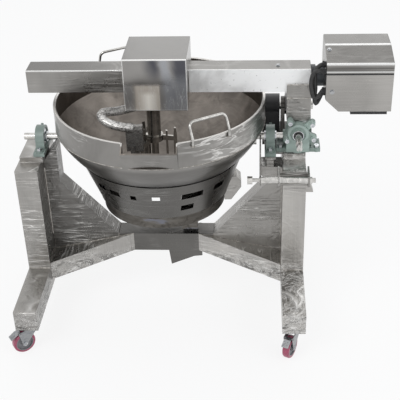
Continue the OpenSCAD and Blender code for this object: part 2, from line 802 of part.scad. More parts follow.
// A bent rod handle, welded to the collar on both legs and leaning in over the pot
module handle(direction) {
    leg = handle_span / 2;
    mid = sqrt(pow(pot_r + handle_rod / 2, 2) - leg * leg);
    foot = rim_z - 18;
    bend_z = rim_z + 12;
    rise = (handle_rise - 12) / cos(handle_lean);
    color(steel) at_pot() rotate([0, 0, direction]) translate([mid, 0, 0]) {
        for (s = [-1, 1]) {
            translate([0, s * leg, foot]) cylinder(h = bend_z - foot, d = handle_rod);
            translate([0, s * leg, bend_z]) sphere(d = handle_rod);
        }
        translate([0, 0, bend_z]) rotate([0, -handle_lean, 0]) {
            for (s = [-1, 1]) {
                translate([0, s * leg, 0]) cylinder(h = rise - handle_bend, d = handle_rod);
                translate([0, s * (leg - handle_bend), rise - handle_bend]) rotate([90, 0, s * 90])
                    rotate_extrude(angle = 90) translate([handle_bend, 0]) circle(d = handle_rod);
            }
            translate([0, leg - handle_bend, rise]) rotate([90, 0, 0])
                cylinder(h = 2 * (leg - handle_bend), d = handle_rod);
        }
    }
}

module front_handle() {
    handle(handle_dir);
}

module rear_handle() {
    handle(handle_dir + 180);
}

// A trunnion: a shaft on a round boss that seats on the pot's dished side
module trunnion(side, reach) {
    difference() {
        union() {
            bar_x(side > 0 ? 330 : -reach, side > 0 ? reach : -330, 0, trunnion_h, trunnion_d / 2);
            bar_x(side > 0 ? 330 : -dish_at(trunnion_h) - 34, side > 0 ? dish_at(trunnion_h) + 12 : -330,
                0, trunnion_h, 38);
        }
        translate([0, 0, dish_z]) sphere(dish_r + 0.05, $fn = 200);
        translate([0, 0, shroud_z - 40]) cylinder(h = 40.2, r = shroud_top_r + 6);
    }
}

left_reach_shaft = left_bearing_x + 76;
right_reach_shaft = worm_x + 18;

module left_trunnion() {
    color(steel) at_pot() difference() {
        trunnion(-1, left_reach_shaft);
        bar_x(-left_reach_shaft - 1, -left_reach_shaft + 14, 0, trunnion_h, 5);
    }
}

module right_trunnion() {
    color(steel) at_pot() trunnion(1, right_reach_shaft);
}

// Tapered furnace shroud with its vents and a flap between two holes
module furnace_shroud() {
    color(steel) at_pot() {
        difference() {
            rotate_extrude($fn = 144) polygon([
                [shroud_foot_r - furnace_t, shroud_foot_z], [shroud_foot_r, shroud_foot_z],
                [shroud_top_r, shroud_z], [shroud_top_r - furnace_t, shroud_z]
            ]);
            for (v = VENTS)
                rotate([0, 0, v[0]]) translate([-v[2] / 2, -shroud_r(v[1]) - 40, shroud_foot_z + v[1] - v[3] / 2])
                    cube([v[2], 80, v[3]]);
        }
    }
}

// Straight ring below the shroud, with a floor that carries the burner and a duct for its air
ring_r = shroud_foot_d / 2 - 14;

module furnace_ring() {
    color(dark_steel) at_pot() difference() {
        union() {
            translate([0, 0, ring_z]) cylinder(h = furnace_ring_h, r = ring_r, $fn = 144);
            translate([0, 0, shroud_foot_z - 4]) cylinder(h = 4, r = shroud_foot_r, $fn = 144);
            block(76, 146, -38, 38, cradle_top + 22, ring_z + 1);
        }
        translate([0, 0, ring_z + 4]) cylinder(h = furnace_ring_h, r = ring_r - furnace_t, $fn = 144);
        translate([0, 0, ring_z - 1]) cylinder(h = 6, r = burner_d / 2 - burner_tube / 2 - 22);
        block(79, 143, -35, 35, cradle_top + 21, ring_z - 3);
    }
}

// Ring burner with its ports, legs and feed tube
module burner() {
    z = ring_z + 4 + burner_tube / 2 + 8;
    color(dark_steel) at_pot() {
        difference() {
            translate([0, 0, z]) rotate_extrude() translate([burner_d / 2, 0]) circle(d = burner_tube, $fn = 32);
            for (a = [0 : 15 : 345])
                rotate([0, 0, a]) translate([burner_d / 2, 0, z + burner_tube / 2 - 5]) cylinder(h = 6, r = 3);
        }
        for (a = [45, 165, 285])
            rotate([0, 0, a]) translate([burner_d / 2, 0, ring_z + 4])
                cylinder(h = 14, r = 9);
    }
}

// Valve box on the right of the furnace, with the gas inlet stub at its back
gas_dir = 3;
gas_r = 11;
gas_x = shroud_foot_r + 37;
gas_z = ring_z + 76;

module gas_box() {
    color(steel) at_pot() rotate([0, 0, gas_dir]) {
        difference() {
            along_y(-38, 38) polygon([
                [shroud_foot_r - 15, ring_z - 6], [shroud_foot_r + 15, ring_z - 6],
                [shroud_foot_r + 60, ring_z + 58], [shroud_foot_r + 60, ring_z + 92],
                [shroud_foot_r + 39, ring_z + 112], [shroud_foot_r - 5, ring_z + 112],
                [shroud_foot_r - 19, ring_z + 60]
            ]);
            translate([0, 0, shroud_foot_z - 1]) cylinder(h = shroud_h + 1,
                r1 = shroud_foot_r + 0.05 - (shroud_top_r - shroud_foot_r) / shroud_h,
                r2 = shroud_top_r + 0.05, $fn = 144);
            translate([0, 0, shroud_foot_z - 4.01]) cylinder(h = 5, r = shroud_foot_r + 0.05, $fn = 144);
            translate([0, 0, ring_z - 7]) cylinder(h = furnace_ring_h + 4, r = ring_r + 0.05, $fn = 144);
        }
        bar_y(gas_x, 38, 68, gas_z, gas_r);
    }
}

// Worm wheel on the end of the right trunnion
module worm_wheel() {
    color("goldenrod") at_pot() difference() {
        bar_x(worm_x - 16, worm_x + 16, 0, trunnion_h, wheel_r);
        bar_x(worm_x - 17, worm_x + 17, 0, trunnion_h, trunnion_d / 2);
        for (i = [0 : worm_ratio - 1])
            translate([worm_x, 0, trunnion_h]) rotate([i * 360 / worm_ratio, 0, 0])
                translate([-17, -1.4, wheel_r - 4]) cube([34, 2.8, 8]);
    }
}

// Worm shaft with its front end turned down and slotted for a hand crank
crank_r = worm_r - 2;
crank_l = 40;

module worm_shaft() {
    front = -flange_y - flange_t - 14 - worm_reach;
    color(steel) at_pot() difference() {
        union() {
            bar_y(worm_x, front, front + crank_l, worm_z, crank_r);
            bar_y(worm_x, front + crank_l, flange_y - 9, worm_z, worm_r);
        }
        block(worm_x - 3, worm_x + 3, front - 1, front + 12, worm_z - 20, worm_z + 20);
    }
}

// Post of the head and the arm that takes it back to the hinge, as one box
module head_arm() {
    x0 = post_x - beam_w / 2;
    color(steel) at_pot() difference() {
        along_x(x0, x0 + beam_w) {
            polygon([
                [-beam_w / 2, beam_z], [-beam_w / 2, post_foot_z], [70, post_foot_z],
                [hinge_y - 40, hinge_z - 10], [hinge_y + 30, hinge_z + 28], [beam_w / 2 + 60, beam_z - 20],
                [beam_w / 2, beam_z]
            ]);
            translate([hinge_y, hinge_z]) circle(42);
        }
        along_x(x0 + tube_t, x0 + beam_w - tube_t) polygon([
            [-beam_w / 2 + tube_t, beam_z + 1], [-beam_w / 2 + tube_t, post_foot_z + tube_t],
            [66, post_foot_z + tube_t], [hinge_y - 60, hinge_z + 22],
            [hinge_y - 40, hinge_z + 44], [beam_w / 2 + 50, beam_z - 28], [beam_w / 2 - tube_t, beam_z + 1]
        ]);
        bar_x(x0 - 1, x0 + beam_w + 1, hinge_y, hinge_z, hinge_d / 2);
    }
}

// Plates on the front and back that join the post to the beam
module saddle_plates() {
    color(steel) at_pot()
        for (s = [-1, 1])
            block(post_x - 52, post_x + 52, s > 0 ? beam_w / 2 : -beam_w / 2 - 6,
                s > 0 ? beam_w / 2 + 6 : -beam_w / 2, beam_z - (s > 0 ? 0 : 26), beam_z + 34);
}

module hinge_shaft() {
    color(steel) at_pot()
        bar_x(right_bearing_x - 36, post_x + beam_w / 2 + lug_gap + lug_t + 12, hinge_y, hinge_z, hinge_d / 2);
}

// The beam's two lengths of square tube, left and right of the bevel housing
module beam() {
    color(steel) at_pot() {
        difference() {
            block(-beam_left, -bevel_w / 2, -beam_w / 2, beam_w / 2, beam_z, beam_z + beam_w);
            block(-beam_left + tube_t, -bevel_w / 2 + 1, -beam_w / 2 + tube_t, beam_w / 2 - tube_t,
                beam_z + tube_t, beam_z + beam_w - tube_t);
        }
        difference() {
            block(bevel_w / 2, beam_right, -beam_w / 2, beam_w / 2, beam_z, beam_z + beam_w);
            block(bevel_w / 2 - 1, beam_right - 8, -beam_w / 2 + tube_t, beam_w / 2 - tube_t,
                beam_z + tube_t, beam_z + beam_w - tube_t);
            bar_x(beam_right - 9, beam_right + 1, 0, beam_mid, drive_d / 2 + 3);
        }
    }
}

// Cast housing of the bevel gears, hidden under the gear cover
module bevel_housing() {
    z0 = bevel_z;
    z1 = beam_z + beam_w + 40;
    color(casting) at_pot() difference() {
        block(-bevel_w / 2, bevel_w / 2, -bevel_w / 2, bevel_w / 2, z0, z1);
        translate([0, 0, z0 + 14]) cylinder(h = z1 - z0 - 28, r = 74);
        translate([0, 0, z0 - 1]) cylinder(h = 20, r = main_d / 2 + run_fit);
        bar_x(40, bevel_w / 2 + 1, 0, beam_mid, drive_d / 2 + run_fit);
        block(-bevel_w / 2 - 1, -bevel_w / 2 + 8, -30, 30, beam_mid - 30, beam_mid + 30);
    }
}

// Square folded cover over the bevel housing
module gear_cover() {
    w = cover_w / 2;
    color(steel) at_pot() difference() {
        block(-w, w, -w, w, cover_z, cover_z + cover_h);
        block(-w + sheet_t, w - sheet_t, -w + sheet_t, w - sheet_t, cover_z - 1, cover_z + cover_h - sheet_t);
        block(-w - 1, w + 1, -beam_w / 2 - 0.3, beam_w / 2 + 0.3, cover_z - 1, beam_z + beam_w + 0.3);
    }
}

// Teeth round a disc: straight flanks with rounded room at their feet
module toothed_disc(teeth, pitch, h) {
    tip = pitch + gear_module * 0.8;
    root = pitch - gear_module * 1.0;
    half = 360 / teeth / 4;
    linear_extrude(h) polygon([
        for (i = [0 : teeth - 1])
            for (p = [[-half * 1.35, root], [-half * 0.42, tip], [half * 0.42, tip], [half * 1.35, root]])
                [p[1] * cos(i * 360 / teeth + p[0]), p[1] * sin(i * 360 / teeth + p[0])]
    ]);
}

// Fixed sleeve round the main shaft, with the sun gear at its foot
module shaft_sleeve() {
    color(steel) at_pot() difference() {
        union() {
            translate([0, 0, gear_z]) cylinder(h = bevel_z - gear_z, r = sleeve_d / 2);
            translate([0, 0, gear_z]) toothed_disc(sun_teeth, sun_r, gear_t);
            translate([0, 0, bevel_z - 3]) cylinder(h = 3, r = 50);
        }
        translate([0, 0, gear_z - 1]) cylinder(h = 200, r = main_d / 2 + run_fit);
    }
}

// Geared motor behind the beam's end plate
module motor() {
    color(black) at_pot() difference() {
        union() {
            bar_x(beam_right, beam_right + 18, 0, beam_mid, 48);
            bar_x(beam_right + 17, hood_left + 37, 0, beam_mid, 42);
            bar_x(hood_left + 36, hood_left + 216, 0, beam_mid, motor_d / 2);
            block(hood_left + 72, hood_left + 198, -48, 48, hood_z + sheet_t, beam_mid);
        }
        bar_x(beam_right - 1, beam_right + 60, 0, beam_mid, drive_d / 2 + run_fit);
    }
}

// Lid of the hood, folded lengthwise
module hood_profile(t) {
    y = hood_d / 2;
    polygon([
        [-y + t, tray_top + 4 - (t > 0 ? 10 : 0)], [-y + t, tray_top + 50 - t * 0.8], [10, tray_top + 80 - t],
        [y - 6 - t * 0.3, tray_top + 80 - t], [y - t, tray_top + 68 - t], [y - t, tray_top + 4 - (t > 0 ? 10 : 0)]
    ]);
}

module motor_hood() {
    color(steel) at_pot() difference() {
        along_x(hood_left, hood_right) hood_profile(0);
        along_x(hood_left + sheet_t, hood_right - sheet_t) hood_profile(sheet_t);
    }
}

// Tray under the motor, cut away at its lower left
module tray_outline(t) {
    polygon([
        [hood_left + t, tray_top + (t > 0 ? 10 : 0)], [hood_left + t, hood_z + 52 + t * 0.4],
        [hood_left + 54 + t * 0.4, hood_z + t], [hood_right - t, hood_z + t],
        [hood_right - t, tray_top + (t > 0 ? 10 : 0)]
    ]);
}

module motor_tray() {
    y = hood_d / 2;
    color(steel) at_pot() {
        difference() {
            along_y(-y, y) tray_outline(0);
            along_y(-y + sheet_t, y - sheet_t) tray_outline(sheet_t);
            bar_x(hood_left - 1, hood_left + sheet_t + 1, 0, beam_mid, 42.5);
            block(hood_left - 1, hood_left + sheet_t + 1, -42.5, 42.5, beam_mid, tray_top + 1);
        }
        difference() {
            along_y(-y, y) polygon([
                [hood_left, tray_top], [hood_left, tray_top + 4], [hood_right, tray_top + 4], [hood_right, tray_top]
            ]);
            block(hood_left + sheet_t, hood_right - sheet_t, -y + sheet_t, y - sheet_t, tray_top - 1, tray_top + 5);
            block(hood_left - 1, hood_left + sheet_t + 1, -42.5, 42.5, tray_top - 1, tray_top + 5);
        }
    }
}

// A round tube swept along a list of points
function unit(v) = v / norm(v);
function tangent(p, i) = unit(p[min(i + 1, len(p) - 1)] - p[max(i - 1, 0)]);
function side_of(t) = unit(cross(t, [0.1, 1, 0.05]));
function smooth(p, n) = [
    for (i = [0 : len(p) - 2])
        for (k = [0 : n - 1])
            let (
                a = p[max(i - 1, 0)], b = p[i], c = p[i + 1], d = p[min(i + 2, len(p) - 1)],
                u = k / n
            )
            0.5 * (2 * b + (c - a) * u + (2 * a - 5 * b + 4 * c - d) * u * u
                + (3 * b - a - 3 * c + d) * u * u * u),
    p[len(p) - 1]
];
module tube(points, r, sides) {
    rings = [
        for (i = [0 : len(points) - 1])
            let (t = tangent(points, i), s = side_of(t), w = cross(t, s))
            for (k = [0 : sides - 1])
                points[i] + r * (cos(k * 360 / sides) * s + sin(k * 360 / sides) * w)
    ];
    n = len(points);
    faces = concat(
        [[for (k = [0 : sides - 1]) k]],
        [[for (k = [sides - 1 : -1 : 0]) (n - 1) * sides + k]],
        [
            for (i = [0 : n - 2])
                for (k = [0 : sides - 1])
                    [i * sides + k, (i + 1) * sides + k, (i + 1) * sides + (k + 1) % sides, i * sides + (k + 1) % sides]
        ]
    );
    polyhedron(points = rings, faces = faces, convexity = 4);
}

module cables() {
    color(black) at_pot() {
        for (c = CABLES) tube(smooth(c, 3), CABLE_R, 12);
    }
}

// Drive shaft with the bevel pinion on its left end
module drive_shaft() {
    color(steel) at_pot() {
        bar_x(pinion_r + 4, beam_right + 54, 0, beam_mid, drive_d / 2);
        translate([crown_r * 0.6, 0, beam_mid]) rotate([0, 90, 0])
            cylinder(h = crown_r * 0.4, r1 = pinion_r * 0.6, r2 = pinion_r);
    }
}

// Turning case of the planet gears inside the cover, on the main shaft with the crown wheel
case_out = planet_offset + planet_r + 10;

module planet_case() {
    crown_z = bevel_z + 14.5;
    color(dark_steel) at_pot() rotate([0, 0, planet_dir]) {
        difference() {
            translate([0, 0, case_z]) cylinder(h = case_h, r = case_out);
            translate([0, 0, case_z + 8]) cylinder(h = case_h - 13, r = sun_r + 6);
            translate([planet_offset, 0, case_z + 8]) cylinder(h = case_h - 13, r = planet_r + 5);
            translate([0, 0, case_z + 20]) cylinder(h = case_h, r = sleeve_d / 2 + run_fit);
            translate([planet_offset, 0, case_z - 1]) cylinder(h = 20, r = planet_d / 2 + run_fit);
        }
        translate([0, 0, case_z + 4]) cylinder(h = crown_z + 2 - case_z, r = main_d / 2);
        translate([0, 0, crown_z]) cylinder(h = beam_mid - pinion_r - 0.4 - crown_z, r = crown_r);
        translate([0, 0, beam_mid - pinion_r - 0.4]) cylinder(h = pinion_r * 0.4, r1 = crown_r, r2 = crown_r * 0.6);
    }
}

// Scraper arm: a bent tube from the case, a post at its end and a curved shoe on the post
shoe_t = 14;
shoe_w = 24;
scraper_t = 12;
post_r = 217;
post_dir = 245.5;
ARM = [
    [-84, -20, 974], [-120, -42, 970], [-176, -78, 972], [-224, -120, 986], [-226, -162, 982],
    [-190, -188, 968], [-140, -198, 958], [-92, -197, 953]
];

module shoe(r0, r1, w, from_a, to_a) {
    rotate([0, 0, post_dir - 180]) translate([0, 0, scrape_z]) rotate([90, 0, 0]) rotate([0, 0, from_a])
        rotate_extrude(angle = to_a - from_a, $fn = 144) translate([r0, -w / 2]) square([r1 - r0, w]);
}

module sweep_arm() {
    r1 = scrape_r - scraper_t;
    function inner(x) = scrape_z - sqrt(pow(r1 - shoe_t / 2, 2) - x * x);
    color(steel) at_pot() {
        translate([ARM[0][0], ARM[0][1], 962]) cylinder(h = case_z - 962, r = arm_d / 2 + 3);
        tube(smooth(ARM, 4), arm_d / 2, 16);
        block(-124, -54, -208, -188, 850, 966);
        rotate([0, 0, post_dir - 180]) along_y(-8, 8) polygon([
            [-post_r - 24, 880], [-post_r - 24, inner(post_r + 24)],
            [-post_r + 22, inner(post_r - 22)], [-post_r + 22, 880]
        ]);
        shoe(r1 - shoe_t, r1, shoe_w, 206, 240.5);
    }
}

module sweep_scraper() {
    r1 = scrape_r - scraper_t;
    color(ptfe) at_pot() shoe(r1, scrape_r, shoe_w - 6, 206, 240.5);
}

// Stirring shaft and its three rakes, turned by the planet gear
module agitator() {
    function lowest(r) = scrape_z - sqrt(scrape_r * scrape_r - pow(planet_offset + r, 2)) + 3;
    r = agitator_r;
    t = 11;
    hub_z = 866;
    color(steel) at_pot() rotate([0, 0, planet_dir]) translate([planet_offset, 0, 0]) {
        translate([0, 0, lowest(planet_d / 2)])
            cylinder(h = gear_z + 1 - lowest(planet_d / 2), r = planet_d / 2);
        translate([0, 0, hub_z - 30]) cylinder(h = case_z - 1 - hub_z + 30, r = stir_d / 2);
        translate([0, 0, hub_z - 34]) cylinder(h = 26, r = stir_d / 2 + 8);
        translate([0, 0, gear_z]) rotate([0, 0, 180 - 180 / planet_teeth * (planet_teeth % 2 == 0 ? 1 : 0)])
            toothed_disc(planet_teeth, planet_r, gear_t);
        for (a = [8, 128, 238])
            rotate([0, 0, a - planet_dir]) translate([0, t / 2, 0]) rotate([90, 0, 0]) linear_extrude(t) {
                polygon([[0, hub_z - 34], [0, hub_z - 8], [r, hub_z - 26], [r, hub_z - 46]]);
                polygon([
                    [r - 16, lowest(r - 16)], [r, lowest(r)], [r, hub_z - 20], [r - 4, hub_z + 14], [r - 11, hub_z + 16],
                    [r - 15, hub_z - 20]
                ]);
                polygon([
                    [r - 50, lowest(r - 50)], [r - 38, lowest(r - 38)], [r - 40, hub_z + 4], [r - 48, hub_z + 6]
                ]);
                polygon([[0, lowest(r) + 34], [r, lowest(r) + 30], [r, lowest(r)], [0, lowest(r * 0.6)]]);
            }
    }
}

// Fork of a caster, drawn with its swivel axis at the origin and its trail along +X
fork_gap = wheel_w / 2 + 3;
fork_t = 3;
axle_z = wheel_d / 2 - caster_h;
pedal_x = caster_trail + 15;
pedal_z = -24;

module at_caster(i) {
    s = CASTERS[i];
    at_pot() translate([s[0] * stand_x, s[1] * caster_y, caster_h]) rotate([0, 0, caster_dir(i)]) children();
}

module caster_fork(i) {
    color(zinc) at_caster(i) {
        difference() {
            union() {
                for (s = [-1, 1])
                    along_y(s > 0 ? fork_gap : -fork_gap - fork_t, s > 0 ? fork_gap + fork_t : -fork_gap) {
                        polygon([
                            [-24, -9], [26, -9], [pedal_x + 7, pedal_z + 6], [pedal_x + 8, pedal_z - 2],
                            [caster_trail + 12, axle_z + 2], [caster_trail - 12, axle_z], [-22, -24]
                        ]);
                        translate([caster_trail, axle_z]) circle(13);
                        translate([pedal_x, pedal_z]) circle(8);
                    }
                translate([-24, -fork_gap - fork_t, -13]) cube([50, 2 * (fork_gap + fork_t), 4]);
                translate([0, 0, -9.5]) cylinder(h = 6, r = 8);
            }
            bar_y(caster_trail, -40, 40, axle_z, 5);
            bar_y(pedal_x, -40, 40, pedal_z, 4 + run_fit);
            bar_y(caster_trail, -fork_gap + 0.01, fork_gap - 0.01, axle_z, wheel_d / 2 + 3);
        }
        bar_y(caster_trail, -fork_gap - fork_t - 5, fork_gap + fork_t + 5, axle_z, 5);
    }
}

module caster_wheel(i) {
    color(crimson) at_caster(i) translate([caster_trail, wheel_w / 2, axle_z]) rotate([90, 0, 0])
        difference() {
            rotate_extrude() polygon([
                [wheel_d / 2 - 11, 0], [wheel_d / 2 - 3, 0], [wheel_d / 2, 5], [wheel_d / 2, wheel_w - 5],
                [wheel_d / 2 - 3, wheel_w], [wheel_d / 2 - 11, wheel_w]
            ]);
        }
}

module caster_hub(i) {
    color("gray") at_caster(i) translate([caster_trail, 0, axle_z]) rotate([90, 0, 0])
        difference() {
            union() {
                translate([0, 0, -wheel_w / 2]) cylinder(h = wheel_w, r = wheel_d / 2 - 11);
                translate([0, 0, -wheel_w / 2 - 2.5]) cylinder(h = wheel_w + 5, r = 12);
            }
            for (s = [-1, 1])
                translate([0, 0, s * wheel_w / 2]) difference() {
                    cylinder(h = 12, r = wheel_d / 2 - 15, center = true);
                    cylinder(h = 13, r = 16, center = true);
                }
            cylinder(h = 60, r = 5 + run_fit, center = true);
        }
}

module brake_pedal(i) {
    color(zinc) at_caster(i) {
        bar_y(pedal_x, -fork_gap - fork_t - 2, fork_gap + fork_t + 2, pedal_z, 4);
        along_y(-pedal_w / 2, pedal_w / 2) polygon([
            [pedal_x - 5, pedal_z - 3], [pedal_x - 3, pedal_z + 5], [pedal_x + 16, pedal_z + 4],
            [pedal_reach, pedal_z - 14], [pedal_reach - 2, pedal_z - 19], [pedal_x + 14, pedal_z - 2]
        ]);
    }
}

left_stand();
right_stand();
cradle_beam();
cradle_webs();
struts();
left_bearing();
right_bearing();
bearing_inserts();
frame_bolts();
gearbox_housing();
gearbox_flange();
cross_shaft_bracket();
cross_shaft();
hinge_bracket();
hinge_bearing();
caster_plates();
pot_shell();
spout();
front_handle();
rear_handle();
left_trunnion();
right_trunnion();
furnace_shroud();
furnace_ring();
burner();
gas_box();
worm_wheel();
worm_shaft();
head_arm();
saddle_plates();
hinge_shaft();
beam();
bevel_housing();
gear_cover();
shaft_sleeve();
motor();
motor_hood();
motor_tray();
cables();
drive_shaft();
planet_case();
sweep_arm();
sweep_scraper();
agitator();
caster_fork(0);  // caster_fork_1
caster_fork(1);  // caster_fork_2
caster_fork(2);  // caster_fork_3
caster_fork(3);  // caster_fork_4
caster_wheel(0);  // caster_wheel_1
caster_wheel(1);  // caster_wheel_2
caster_wheel(2);  // caster_wheel_3
caster_wheel(3);  // caster_wheel_4
caster_hub(0);  // caster_hub_1
caster_hub(1);  // caster_hub_2
caster_hub(2);  // caster_hub_3
caster_hub(3);  // caster_hub_4
brake_pedal(0);  // brake_pedal_1
brake_pedal(1);  // brake_pedal_2
brake_pedal(2);  // brake_pedal_3
brake_pedal(3);  // brake_pedal_4
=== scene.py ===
"""Finishes the tilting cooking mixer: its steel, castings and rubber, and the small trim on them."""
import math

import bmesh
import bpy
from mathutils import Euler, Matrix, Vector


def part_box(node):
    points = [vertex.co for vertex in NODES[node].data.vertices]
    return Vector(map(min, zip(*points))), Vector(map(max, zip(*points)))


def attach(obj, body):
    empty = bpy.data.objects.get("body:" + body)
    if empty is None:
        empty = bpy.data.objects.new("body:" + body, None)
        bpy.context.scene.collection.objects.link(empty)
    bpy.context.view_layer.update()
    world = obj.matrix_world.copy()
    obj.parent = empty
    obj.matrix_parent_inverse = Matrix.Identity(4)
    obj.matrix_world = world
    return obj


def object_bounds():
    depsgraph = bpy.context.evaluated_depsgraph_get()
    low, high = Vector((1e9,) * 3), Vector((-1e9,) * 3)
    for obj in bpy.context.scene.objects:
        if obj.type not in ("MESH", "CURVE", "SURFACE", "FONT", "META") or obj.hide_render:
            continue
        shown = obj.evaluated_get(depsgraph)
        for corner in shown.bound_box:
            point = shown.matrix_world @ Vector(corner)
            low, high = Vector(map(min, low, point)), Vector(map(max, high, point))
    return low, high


bl_info = {
    "name": "Cooking Mixer Finish",
    "version": (1, 0, 0),
    "blender": (4, 5, 0),
    "location": "View3D > Sidebar > Mixer",
    "description": "Materials, trim, light and camera for a tilting cooking mixer",
    "category": "Object",
}

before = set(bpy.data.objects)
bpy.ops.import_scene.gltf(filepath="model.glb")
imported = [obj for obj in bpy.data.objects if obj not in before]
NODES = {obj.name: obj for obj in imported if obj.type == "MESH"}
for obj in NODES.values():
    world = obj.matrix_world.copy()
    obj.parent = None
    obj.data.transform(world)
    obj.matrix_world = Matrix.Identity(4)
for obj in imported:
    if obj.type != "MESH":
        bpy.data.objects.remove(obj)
CAD_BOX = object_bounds()
LOW, HIGH = 0, 1


def middle(node):
    """The middle of a part's box."""
    low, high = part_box(node)
    return (low + high) / 2


# The pot's axis and rim
POT_X = middle("furnace_ring").x
RIM_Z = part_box("pot_shell")[HIGH].z
POT_R = 0.45  # outside of the collar's foot
COLLAR_H = 0.11  # rim to the seam below the collar

# The frame, where the parts' boxes don't give it. Those in X are counted from the pot's axis
STAND_INNER_X = 0.525  # inner face of a stand
STAND_W = 0.1  # width of the stands' box section
UPRIGHT_HALF = 0.173  # half the depth of an upright
FOOT_H = 0.098  # underside of a foot to its top
STRUT_TOP = 0.251  # top edge of a strut at the stand
STRUT_LAP = 0.07  # length of a strut that lies along the cradle beam
CRADLE_FRONT_LOW = 0.243  # lower edge of the cradle beam's front
WEB_TOP = 0.68  # top of a web at the stand

# The motor's lid: its top fold in Y, and how far its front fold and its hem lie below the top
LID_FOLD_Y = 0.008
LID_DROP = 0.031
LID_HEM_DROP = 0.064

# Each caster's fork, with the direction in degrees that its pedal points in
CASTER_TURNS = (
    ("fork_left_front", -145.0), ("fork_right_front", -115.0),
    ("fork_left_back", 145.0), ("fork_right_back", 115.0))

# Runs of weld: sides, and ring spacing as a share of the half width
WELD_SIDES = 6
WELD_STEP = 0.9

# Camera of the photograph, fitted to the machine's own corners, in metres and degrees
CAMERA_PLACE = (0.4070, -3.4633, 2.5944)
CAMERA_TURN = (58.744, 1.666, 3.094)


# Shader writing


class Wire:
    """A shader socket that takes part in Python arithmetic."""

    def __init__(self, recipe, socket):
        self.recipe = recipe
        self.socket = socket

    def _math(self, operation, a, b=None, clamp=False):
        values = {0: a} if b is None else {0: a, 1: b}
        return self.recipe.add("ShaderNodeMath", values, operation=operation, use_clamp=clamp)

    def __add__(self, other):
        return self._math("ADD", self, other)

    __radd__ = __add__

    def __sub__(self, other):
        return self._math("SUBTRACT", self, other)

    def __rsub__(self, other):
        return self._math("SUBTRACT", other, self)

    def __mul__(self, other):
        return self._math("MULTIPLY", self, other)

    __rmul__ = __mul__

    def __truediv__(self, other):
        return self._math("DIVIDE", self, other)

    def __pow__(self, other):
        return self._math("POWER", self, other)

    def clamped(self):
        """The value held between 0 and 1."""
        return self._math("ADD", self, 0.0, clamp=True)

    def above(self, other):
        """The greater of two values."""
        return self._math("MAXIMUM", self, other)

    def near(self, value, reach):
        """1 at a value, falling to 0 at reach from it."""
        away = self._math("ABSOLUTE", self - value) / reach
        return self._math("SUBTRACT", 1.0, away, clamp=True)

    def ridge(self, width):
        """1 where the value is one half, 0 where it is further than width from it."""
        return self.near(0.5, width)

    def over(self, low, high):
        """0 below low, 1 above high, and a smooth rise between them."""
        return self.recipe.add(
            "ShaderNodeMapRange", {"Value": self, "From Min": low, "From Max": high}, "Result",
            interpolation_type="SMOOTHSTEP")

    def under(self, low, high):
        """1 below low, 0 above high, and a smooth fall between them."""
        return 1.0 - self.over(low, high)


class Recipe:
    """One procedural material, written as expressions on wires."""

    def __init__(self, name):
        self.material = bpy.data.materials.new(name)
        self.material.use_nodes = True
        self.tree = self.material.node_tree
        self.tree.nodes.clear()
        self.shader = self.tree.nodes.new("ShaderNodeBsdfPrincipled")
        self.output = self.tree.nodes.new("ShaderNodeOutputMaterial")
        self.tree.links.new(self.shader.outputs["BSDF"], self.output.inputs["Surface"])
        self._place = None
        self._facing = None

    def add(self, kind, values=None, output=0, **settings):
        """Adds a node, sets it up, fills or links its sockets, and gives one of its outputs."""
        node = self.tree.nodes.new(kind)
        for key, value in settings.items():
            setattr(node, key, value)
        self.fill(node, values or {})
        return Wire(self, node.outputs[output])

    def fill(self, node, values):
        """Sets or links the sockets of a node."""
        for key, value in values.items():
            socket = node.inputs[key]
            if isinstance(value, Wire):
                self.tree.links.new(value.socket, socket)
            else:
                socket.default_value = value

    def place(self):
        """Object coordinates."""
        if self._place is None:
            self._place = self.add("ShaderNodeTexCoord", output="Object")
        return self._place

    def stretched(self, scale=(1.0, 1.0, 1.0), turn=(0.0, 0.0, 0.0), move=(0.0, 0.0, 0.0)):
        """Object coordinates, moved, turned and scaled."""
        return self.add(
            "ShaderNodeMapping",
            {"Vector": self.place(), "Location": move, "Rotation": turn, "Scale": scale})

    def axis(self, name, vector=None):
        """One coordinate of a vector."""
        return self.add("ShaderNodeSeparateXYZ", {"Vector": vector or self.place()}, name)

    def facing(self, name):
        """One coordinate of the surface's own direction."""
        if self._facing is None:
            self._facing = self.add("ShaderNodeNewGeometry", output="Normal")
        return self.axis(name, self._facing)

    def upward(self):
        """1 on tops."""
        return self.facing("Z").over(0.75, 0.97)

    def frontward(self):
        """1 on fronts."""
        return (self.facing("Y") * -1.0).over(0.6, 0.95)

    def noise(self, vector, scale, detail=2.0, rough=0.5, distort=0.0):
        """Cloudy variation from 0 to 1 along a vector."""
        return self.add(
            "ShaderNodeTexNoise",
            {"Vector": vector, "Scale": scale, "Detail": detail, "Roughness": rough, "Distortion": distort},
            "Fac")

    def clouds(self, scale, detail=2.0, rough=0.5, distort=0.0):
        """Cloudy variation from 0 to 1, unstretched."""
        return self.noise(self.place(), scale, detail, rough, distort)

    def blend(self, factor, a, b):
        """Mixes two colours."""
        a, b = (tone if isinstance(tone, Wire) else (*tone, 1.0) for tone in (a, b))
        return self.add("ShaderNodeMix", {0: factor, 6: a, 7: b}, 2, data_type="RGBA")

    def bump(self, height, strength, distance, under=None):
        """A bumped normal."""
        values = {"Height": height, "Strength": strength, "Distance": distance}
        if under is not None:
            values["Normal"] = under
        return self.add("ShaderNodeBump", values, "Normal")

    def finish(self, **sockets):
        """Sets the shader's own sockets and gives the material."""
        self.fill(self.shader, {key.replace("_", " ").title(): value for key, value in sockets.items()})
        return self.material


# Finishes


def shade(tone, amount):
    """A colour made darker or paler."""
    return tuple(min(c * amount, 0.95) for c in tone)


def bunched_folds(r, scale, detail, rough, distort):
    """Pattern of the film's bunched folds, slightly turned so that it runs along no edge."""
    return r.noise(r.stretched((1.0, 1.0, 1.6), (0.5, 0.2, 0.0)), scale, detail, rough, distort)


